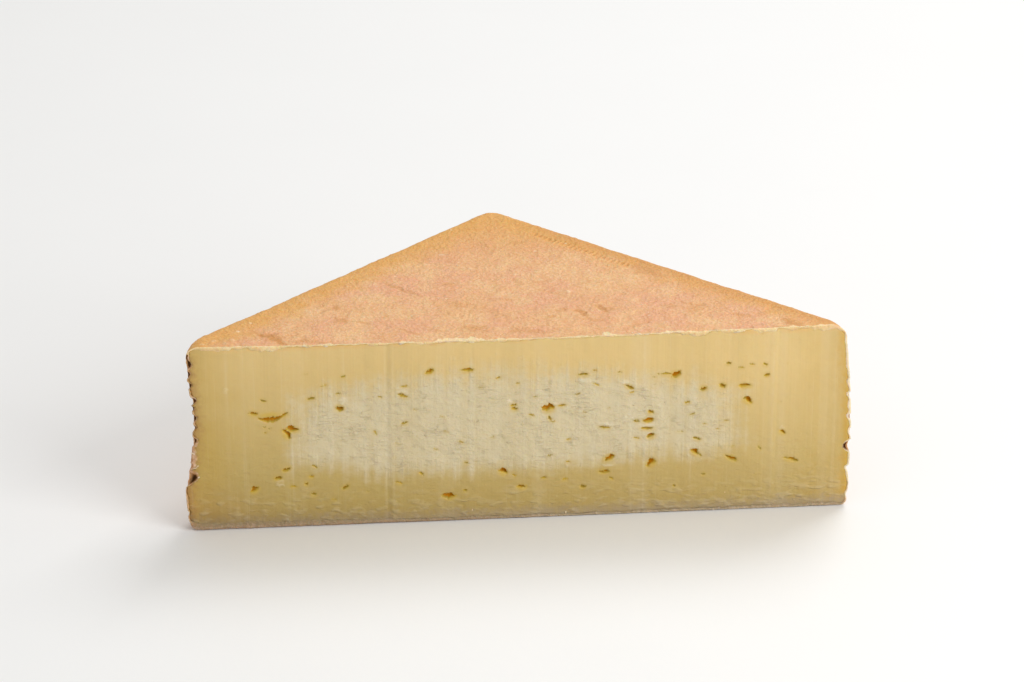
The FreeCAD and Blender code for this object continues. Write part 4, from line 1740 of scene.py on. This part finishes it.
@dataclass
class Paste:
    """The paste inside the rind, closed at the back and open to view at the cut."""
    form: Form
    spacing: float = 0.46
    recess: float = 0.16            # how far the cut paste lies behind the rind's foremost edge
    under_lip: float = 0.5          # the share of the rind's section that the paste runs behind
    skin_inset: float = 1.25        # how far inside the cheese the paste's hidden side lies
    skin_setback: float = 2.2       # how far behind the cut that side starts
    tear_count: int = 46
    tear_gap: float = 0.055         # how far apart the tears and slits are, as a share of the height
    rings: tuple[float, ...] = (1.0, 0.8, 0.5, 0.2, 1.5)    # the rings of points in and round each slit
    closest: float = 0.12           # how near two rings' points may lie
    stroke_half: float = 0.4        # half the breadth of the step from one stroke to the next
    drags: tuple[tuple[float, float, float], ...] = (
        (0.299, 0.6, 0.34), (0.304, 0.5, 0.1), (0.3105, 0.7, 0.24), (0.693, 0.7, 0.22), (0.765, 0.9, 0.12),
        (0.822, 0.7, 0.1), (0.884, 0.7, -0.35), (0.89, 0.8, 0.15), (0.06, 1.4, 0.1), (0.072, 0.6, -0.15),
        (0.985, 0.5, 0.15), (0.5, 0.9, 0.12), (0.432, 0.6, -0.2), (0.236, 0.8, 0.12))
    core_ends: tuple[float, float] = (0.16, 0.846)
    core_top: tuple[float, ...] = (0.68, 0.735, 0.755, 0.82, 0.825, 0.82, 0.8, 0.775, 0.755, 0.72, 0.66)
    core_foot: tuple[float, ...] = (0.34, 0.3, 0.28, 0.28, 0.28, 0.282, 0.28, 0.305, 0.315, 0.325, 0.38)
    seed: int = 41

    def tears(self) -> list[Slit]:
        """Small tears between the curds, mostly level, scattered through the paste.

        Returns:
            The tears.
        """
        rng = np.random.default_rng(self.seed)
        found: list[Slit] = []
        taken = [(slit.across, slit.up) for slit in SLITS]
        while len(found) < self.tear_count:
            across, up = rng.uniform(0.1, 0.93), rng.uniform(0.12, 0.86)
            if min(math.hypot((across - a) * 3.3, up - u) for a, u in taken) < self.tear_gap:
                continue
            in_core = 0.17 < across < 0.86 and 0.28 < up < 0.76
            length = rng.uniform(0.9, 2.6) if in_core else rng.uniform(0.5, 1.3)
            found.append(Slit(across, up, length, length * rng.uniform(0.1, 0.26), rng.normal(0.0, 14.0)))
            taken.append((across, up))
        return found

    def depth_at(self, x: Array) -> Array:
        """How far each knife stroke's face lies behind the foremost one, with soft steps between.

        Args:
            x: the places along the cut.

        Returns:
            The depth at each one.
        """
        form = self.form
        first, second = (form.across(share) for share in form.stroke_ends)
        left, middle, right = form.stroke_depths
        half = self.stroke_half
        depth = left + (middle - left) * smooth(first - half, first + half, x)
        return depth + (right - middle) * smooth(second - half, second + half, x)

    def build(self, material: Material, loop: Array, thick: Array) -> Thing:
        """Builds and dresses the paste.

        Args:
            material: its finish.
            loop: the points round the rind's edge at the cut.
            thick: the thickness of the rind's section at each one.

        Returns:
            The paste.
        """
        form = self.form
        patchwork = Patchwork("face", "hollow", "halo", "chalk", "streak", "crumb", "from_end", "core")
        ways = Rind(form).inner_ways(loop)
        border = (loop + ways * (thick * self.under_lip)[:, None])[:, [0, 2]]
        openings = [Opening(form, slit, number) for number, slit in enumerate(list(SLITS) + self.tears())]
        flat = [border]
        for opening in openings:
            for level in self.rings:
                around = opening.outline(level)
                flat.append(around[clear_of(np.concatenate(flat), around, self.closest)])
        half = self.stroke_half
        lines = [form.across(share) + side for share in form.stroke_ends for side in (-half, 0.0, half)]
        lines += [form.across(share) for share, width, _ in self.drags if width < 1.0]
        for x in lines:
            z = np.arange(1.5, form.thickness - 2.5, self.spacing)
            line = np.stack([x + 0 * z, z], axis=1)
            flat.append(line[clear_of(np.concatenate(flat), line, 0.2)])
        grid = lattice(border.min(0), border.max(0), self.spacing)
        grid = grid[inside(border, grid)]
        flat.append(grid[clear_of(np.concatenate(flat), grid, 0.55 * self.spacing)])
        flat = np.concatenate(flat)
        hollow, halo = np.zeros(len(flat)), np.zeros(len(flat))
        for opening in openings:
            depth, glow = opening.depth(flat)
            hollow, halo = np.maximum(hollow, depth), np.maximum(halo, glow)
        hollow[:len(border)] = 0.0
        chalk, rise = self.scuffed(flat)
        streak = self.dragged(flat[:, 0])
        y = self.recess + self.depth_at(flat[:, 0]) + hollow - rise - 0.08 * streak
        y[:len(border)] += 0.15
        points = np.stack([flat[:, 0], y, flat[:, 1]], axis=1)
        from_end = form.from_end(points)
        crumb = 0.3 * chalk + 0.04 * smooth(9.0, 2.0, flat[:, 1])
        ids = patchwork.place(points, face=1.0, hollow=hollow, halo=halo, chalk=chalk, streak=streak,
                              crumb=crumb * (hollow < 0.02), from_end=from_end, core=self.in_core(flat))
        patchwork.fill(ids, flat, len(border))
        back = Skin.coarse(form, self.skin_inset, self.skin_setback).build(patchwork)
        patchwork.zip(ids[:len(border)], back)
        paste = patchwork.mesh("paste", form.origin)
        return grown(paste, self.relief_tree(), {
            "Streak Depth": 0.1 * MM, "Lump Depth": 0.25 * MM, "Curd Depth": 0.22 * MM, "Finish": material})

    def in_core(self, flat: Array) -> Array:
        """How far inside the chalky core each place on the cut lies, in millimetres.

        Args:
            flat: the places, in x and z.

        Returns:
            The distance for each one.
        """
        form = self.form
        first, last = (form.across(share) for share in self.core_ends)
        share = (flat[:, 0] - first) / (last - first)
        under = 0.7 * (curve_through(self.core_top, share) * form.thickness - flat[:, 1])
        over = flat[:, 1] - curve_through(self.core_foot, share) * form.thickness
        return np.minimum(np.minimum(under, over), np.minimum(flat[:, 0] - first, 0.5 * (last - flat[:, 0])))

    def dragged(self, x: Array) -> Array:
        """The knife's named drag lines: above 0 for a ridge, below 0 for a groove.

        Args:
            x: the places along the cut.

        Returns:
            Their height at each one.
        """
        found = np.zeros(len(x))
        for share, width, strength in self.drags:
            off = (x - self.form.across(share)) / (width / 2)
            found += strength * np.clip(1 - off * off, 0.0, 1.0)
        return found

    def scuffed(self, flat: Array) -> tuple[Array, Array]:
        """How pale and how raised the scuffs make each place on the cut.

        Args:
            flat: the places, in x and z.

        Returns:
            The paleness from 0 to 1, and the rise in millimetres.
        """
        chalk, rise = np.zeros(len(flat)), np.zeros(len(flat))
        for number, scuff in enumerate(SCUFFS):
            middle = (self.form.across(scuff.across), scuff.up * self.form.thickness)
            along, across = turned(flat, middle, scuff.tilt)
            u = along / (scuff.width / 2)
            v = across / (scuff.height / 2) + 0.5 * wander(u * scuff.width, 0.7, 300 + number)
            ragged = 0.45 * wander(flat[:, 0] + 0.6 * flat[:, 1], 0.8, 400 + number)
            body = np.clip(1.0 - u * u - v * v + ragged * (np.abs(u) + np.abs(v)), 0.0, 1.0)
            chalk = np.maximum(chalk, scuff.pale * smooth(0.0, 0.6, body))
            rise = np.maximum(rise, scuff.rise * np.sqrt(body))
        return chalk, rise

    @staticmethod
    def relief_tree() -> Tree:
        """The relief of the cut: the knife's drag, broad lumps and the curds' grain.

        Returns:
            The group.
        """
        wiring, given, taken = open_shaping("cut_relief", {
            "Streak Depth": 0.0001, "Lump Depth": 0.0002, "Curd Depth": 0.0001})
        place = wiring.put("GeometryNodeInputPosition") * TO_MM
        streak = (place * (1.0, 1.0, 0.018)).noise(0.55, 3.0, 0.6)
        curds = (place * (0.8, 1.0, 1.1)).noise(0.45, 3.0, 0.6)
        total = (streak - 0.5) * given["Streak Depth"]
        total += (place.noise(0.09, 2.0) - 0.5) * given["Lump Depth"]
        total += (curds - 0.5) * given["Curd Depth"]
        offset = wiring.put("ShaderNodeCombineXYZ", {1: total * wiring.field("face")})
        moved = wiring.put("GeometryNodeSetPosition", {"Geometry": given["Geometry"], "Offset": offset})
        return close_shaping(wiring, moved, given, taken)


# ---- What is scattered over them ----


@dataclass(frozen=True)
class Scatter:
    """Small torn bits strewn over a surface, thickest where one of its marks is highest."""
    name: str
    where: str                      # the mark that says where they lie
    density: float                  # how many to a square metre where the mark is 1
    small: float                    # the smallest, in millimetres across
    large: float
    seed: int
    flat: float = 0.3               # how thick they are, as a share of their length
    narrow: float = 0.6             # how broad they are, as a share of their length
    turn: float = 180.0             # how far they may turn away from lying along the cut, in degrees

    def build(self, ground: Thing, material: Material, tree: Tree) -> Thing:
        """Strews the bits.

        Args:
            ground: the piece that they lie on.
            material: their finish.
            tree: the scatter tree.

        Returns:
            The bits, as one piece.
        """
        bits = link(bpy.data.objects.new(self.name, ground.data.copy()))
        return grown(bits, tree, {
            "Where": self.where, "Density": self.density, "Small": self.small * MM / 2,
            "Large": self.large * MM / 2, "Flat": self.flat, "Narrow": self.narrow,
            "Turn": math.radians(self.turn), "Seed": self.seed, "Finish": material})


def scatter_tree() -> Tree:
    """Torn bits lying on a surface: uneven pebbles, flattened along the surface and half sunk in it.

    Returns:
        The group.
    """
    wiring, given, taken = open_shaping("scatter", {
        "Where": "String", "Density": 1.0, "Small": 0.0001, "Large": 0.0005, "Flat": 0.4, "Narrow": 0.6,
        "Turn": 3.14, "Seed": 0})
    points = wiring.add("GeometryNodeDistributePointsOnFaces", {
        "Mesh": given["Geometry"], "Density": wiring.field(given["Where"]) * given["Density"],
        "Seed": given["Seed"]})
    strewn, facing = Wire(wiring, points.outputs["Points"]), Wire(wiring, points.outputs["Rotation"])
    ball = wiring.put("GeometryNodeMeshIcoSphere", {"Radius": 1.0, "Subdivisions": 2}, "Mesh")
    rough = wiring.put("ShaderNodeTexNoise", {"Scale": 1.1, "Detail": 2.0}, "Color") - (0.5, 0.5, 0.5)
    pebble = wiring.put("GeometryNodeSetPosition", {"Geometry": ball, "Offset": rough * (1.1, 1.1, 1.1)})
    level = wiring.put("FunctionNodeAlignRotationToVector", {
        "Rotation": facing, "Vector": (1.0, 0.0, 0.0)}, axis="X", pivot_axis="Z")
    most = wiring.put("ShaderNodeCombineXYZ", {2: given["Turn"]})
    spin = wiring.put("FunctionNodeRandomValue", {
        "Min": most * (-1.0, -1.0, -1.0), "Max": most, "Seed": given["Seed"]}, data_type="FLOAT_VECTOR")
    turn = wiring.put("FunctionNodeRotateRotation", {"Rotation": level, "Rotate By": spin}, rotation_space="LOCAL")
    size = wiring.put("FunctionNodeRandomValue", {"Seed": given["Seed"]}, 1, data_type="FLOAT")
    small = size.sum("POWER", 2.2)
    breadth = given["Small"] + small * (given["Large"] - given["Small"])
    scale = wiring.put("ShaderNodeCombineXYZ", {
        0: breadth, 1: breadth * given["Narrow"], 2: breadth * given["Flat"]})
    bits = wiring.put("GeometryNodeInstanceOnPoints", {
        "Points": strewn, "Instance": pebble, "Rotation": turn, "Scale": scale})
    return close_shaping(wiring, bits, given, taken)


# ---- The studio ----


@dataclass
class Studio:
    """A plain pale floor, soft light and the camera."""
    form: Form
    floor_half: float = 3.0
    lens: float = 135.0
    distance: float = 0.969
    azimuth: float = -5.09
    elevation: float = 25.9
    aim_above: float = 0.0223       # how far over the middle of the cut the camera looks
    aim_left: float = 0.0015
    sky: float = 0.55
    key_watts: float = 6.0
    fill_watts: float = 5.4
    lamp_size: float = 0.6
    lamp_aim: float = 0.02          # the height that the lamps look at
    key_place: tuple[float, float, float] = (0.45, 0.55, 0.95)
    fill_place: tuple[float, float, float] = (0.62, -0.62, 0.55)

    def floor(self, material: Material) -> None:
        """Lays the floor under the cheese.

        Args:
            material: its finish.
        """
        half = self.floor_half
        data = bpy.data.meshes.new("floor")
        data.from_pydata([(-half, -half, 0), (half, -half, 0), (half, half, 0), (-half, half, 0)], [],
                         [(0, 1, 2, 3)])
        data.materials.append(material)
        link(bpy.data.objects.new("floor", data))

    def lamp(self, name: str, place: tuple[float, float, float], watts: float) -> None:
        """Hangs one square soft lamp that looks at the cheese.

        Args:
            name: its name.
            place: where it hangs.
            watts: its power.
        """
        data = bpy.data.lights.new(name, "AREA")
        data.shape, data.size, data.energy = "SQUARE", self.lamp_size, watts
        lamp = link(bpy.data.objects.new(name, data))
        lamp.location = place
        lamp.rotation_euler = (Vector((0, 0, self.lamp_aim)) - Vector(place)).to_track_quat("-Z", "Y").to_euler()

    def light(self) -> None:
        """Sets the world's light and hangs the lamps."""
        world = bpy.data.worlds.new("studio")
        world.use_nodes = True
        sky = world.node_tree.nodes["Background"]
        sky.inputs["Color"].default_value = (1.0, 1.0, 1.0, 1.0)
        sky.inputs["Strength"].default_value = self.sky
        bpy.context.scene.world = world
        self.lamp("key", self.key_place, self.key_watts)
        self.lamp("fill", self.fill_place, self.fill_watts)

    def camera(self) -> None:
        """Stands the camera at its place and looks through it."""
        low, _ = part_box(NODE)
        middle = Vector((self.form.origin[0] * MM, low.y, self.form.thickness * MM / 2))
        turn, rise = math.radians(self.azimuth), math.radians(self.elevation)
        back = Vector((math.sin(turn) * math.cos(rise), -math.cos(turn) * math.cos(rise), math.sin(rise)))
        data = bpy.data.cameras.new("camera")
        data.lens, data.sensor_width = self.lens, 36.0
        camera = link(bpy.data.objects.new("camera", data))
        camera.location = middle + back * self.distance
        facing = (-back).to_track_quat("-Z", "Y")
        aim = middle + facing @ Vector((-self.aim_left, self.aim_above, 0.0))
        camera.rotation_euler = (aim - camera.location).to_track_quat("-Z", "Y").to_euler()
        bpy.context.scene.camera = camera


def seat(piece: Thing) -> None:
    """Makes a piece ride with the part and logs its points and faces.

    Args:
        piece: the piece.
    """
    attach(piece, BODY)
    LOG.info("%s: %d points, %d faces", piece.name, len(piece.data.vertices), len(piece.data.polygons))


def main() -> None:
    """Builds the cheese and its studio."""
    logging.basicConfig(level=logging.INFO, format="%(message)s")
    bpy.context.scene.view_settings.view_transform = "Standard"
    form, effects = Form(), Effects()
    rind, loop, thick = Rind(form).build(RindFinish().material(effects))
    paste = Paste(form).build(PasteFinish().material(effects), loop, thick)
    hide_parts(NODE)
    seat(rind)
    seat(paste)
    tree, curd = scatter_tree(), CrumbFinish().material(effects)
    for bits, ground, slot in (
            (Scatter("torn_flakes", "lip", 1.1e6, 0.4, 2.0, 3, flat=0.16, narrow=0.34, turn=35.0), rind, Slot.PASTE),
            (Scatter("curd_crumbs", "crumb", 1.6e5, 0.2, 0.9, 5), paste, Slot.PASTE),
            (Scatter("rind_specks", "crown", 5.0e3, 0.2, 0.6, 7), rind, Slot.RIND)):
        seat(bits.build(ground, curd, tree))
    studio = Studio(form)
    studio.floor(FloorFinish().material(effects))
    studio.light()
    studio.camera()


if __name__ == "__main__":
    main()
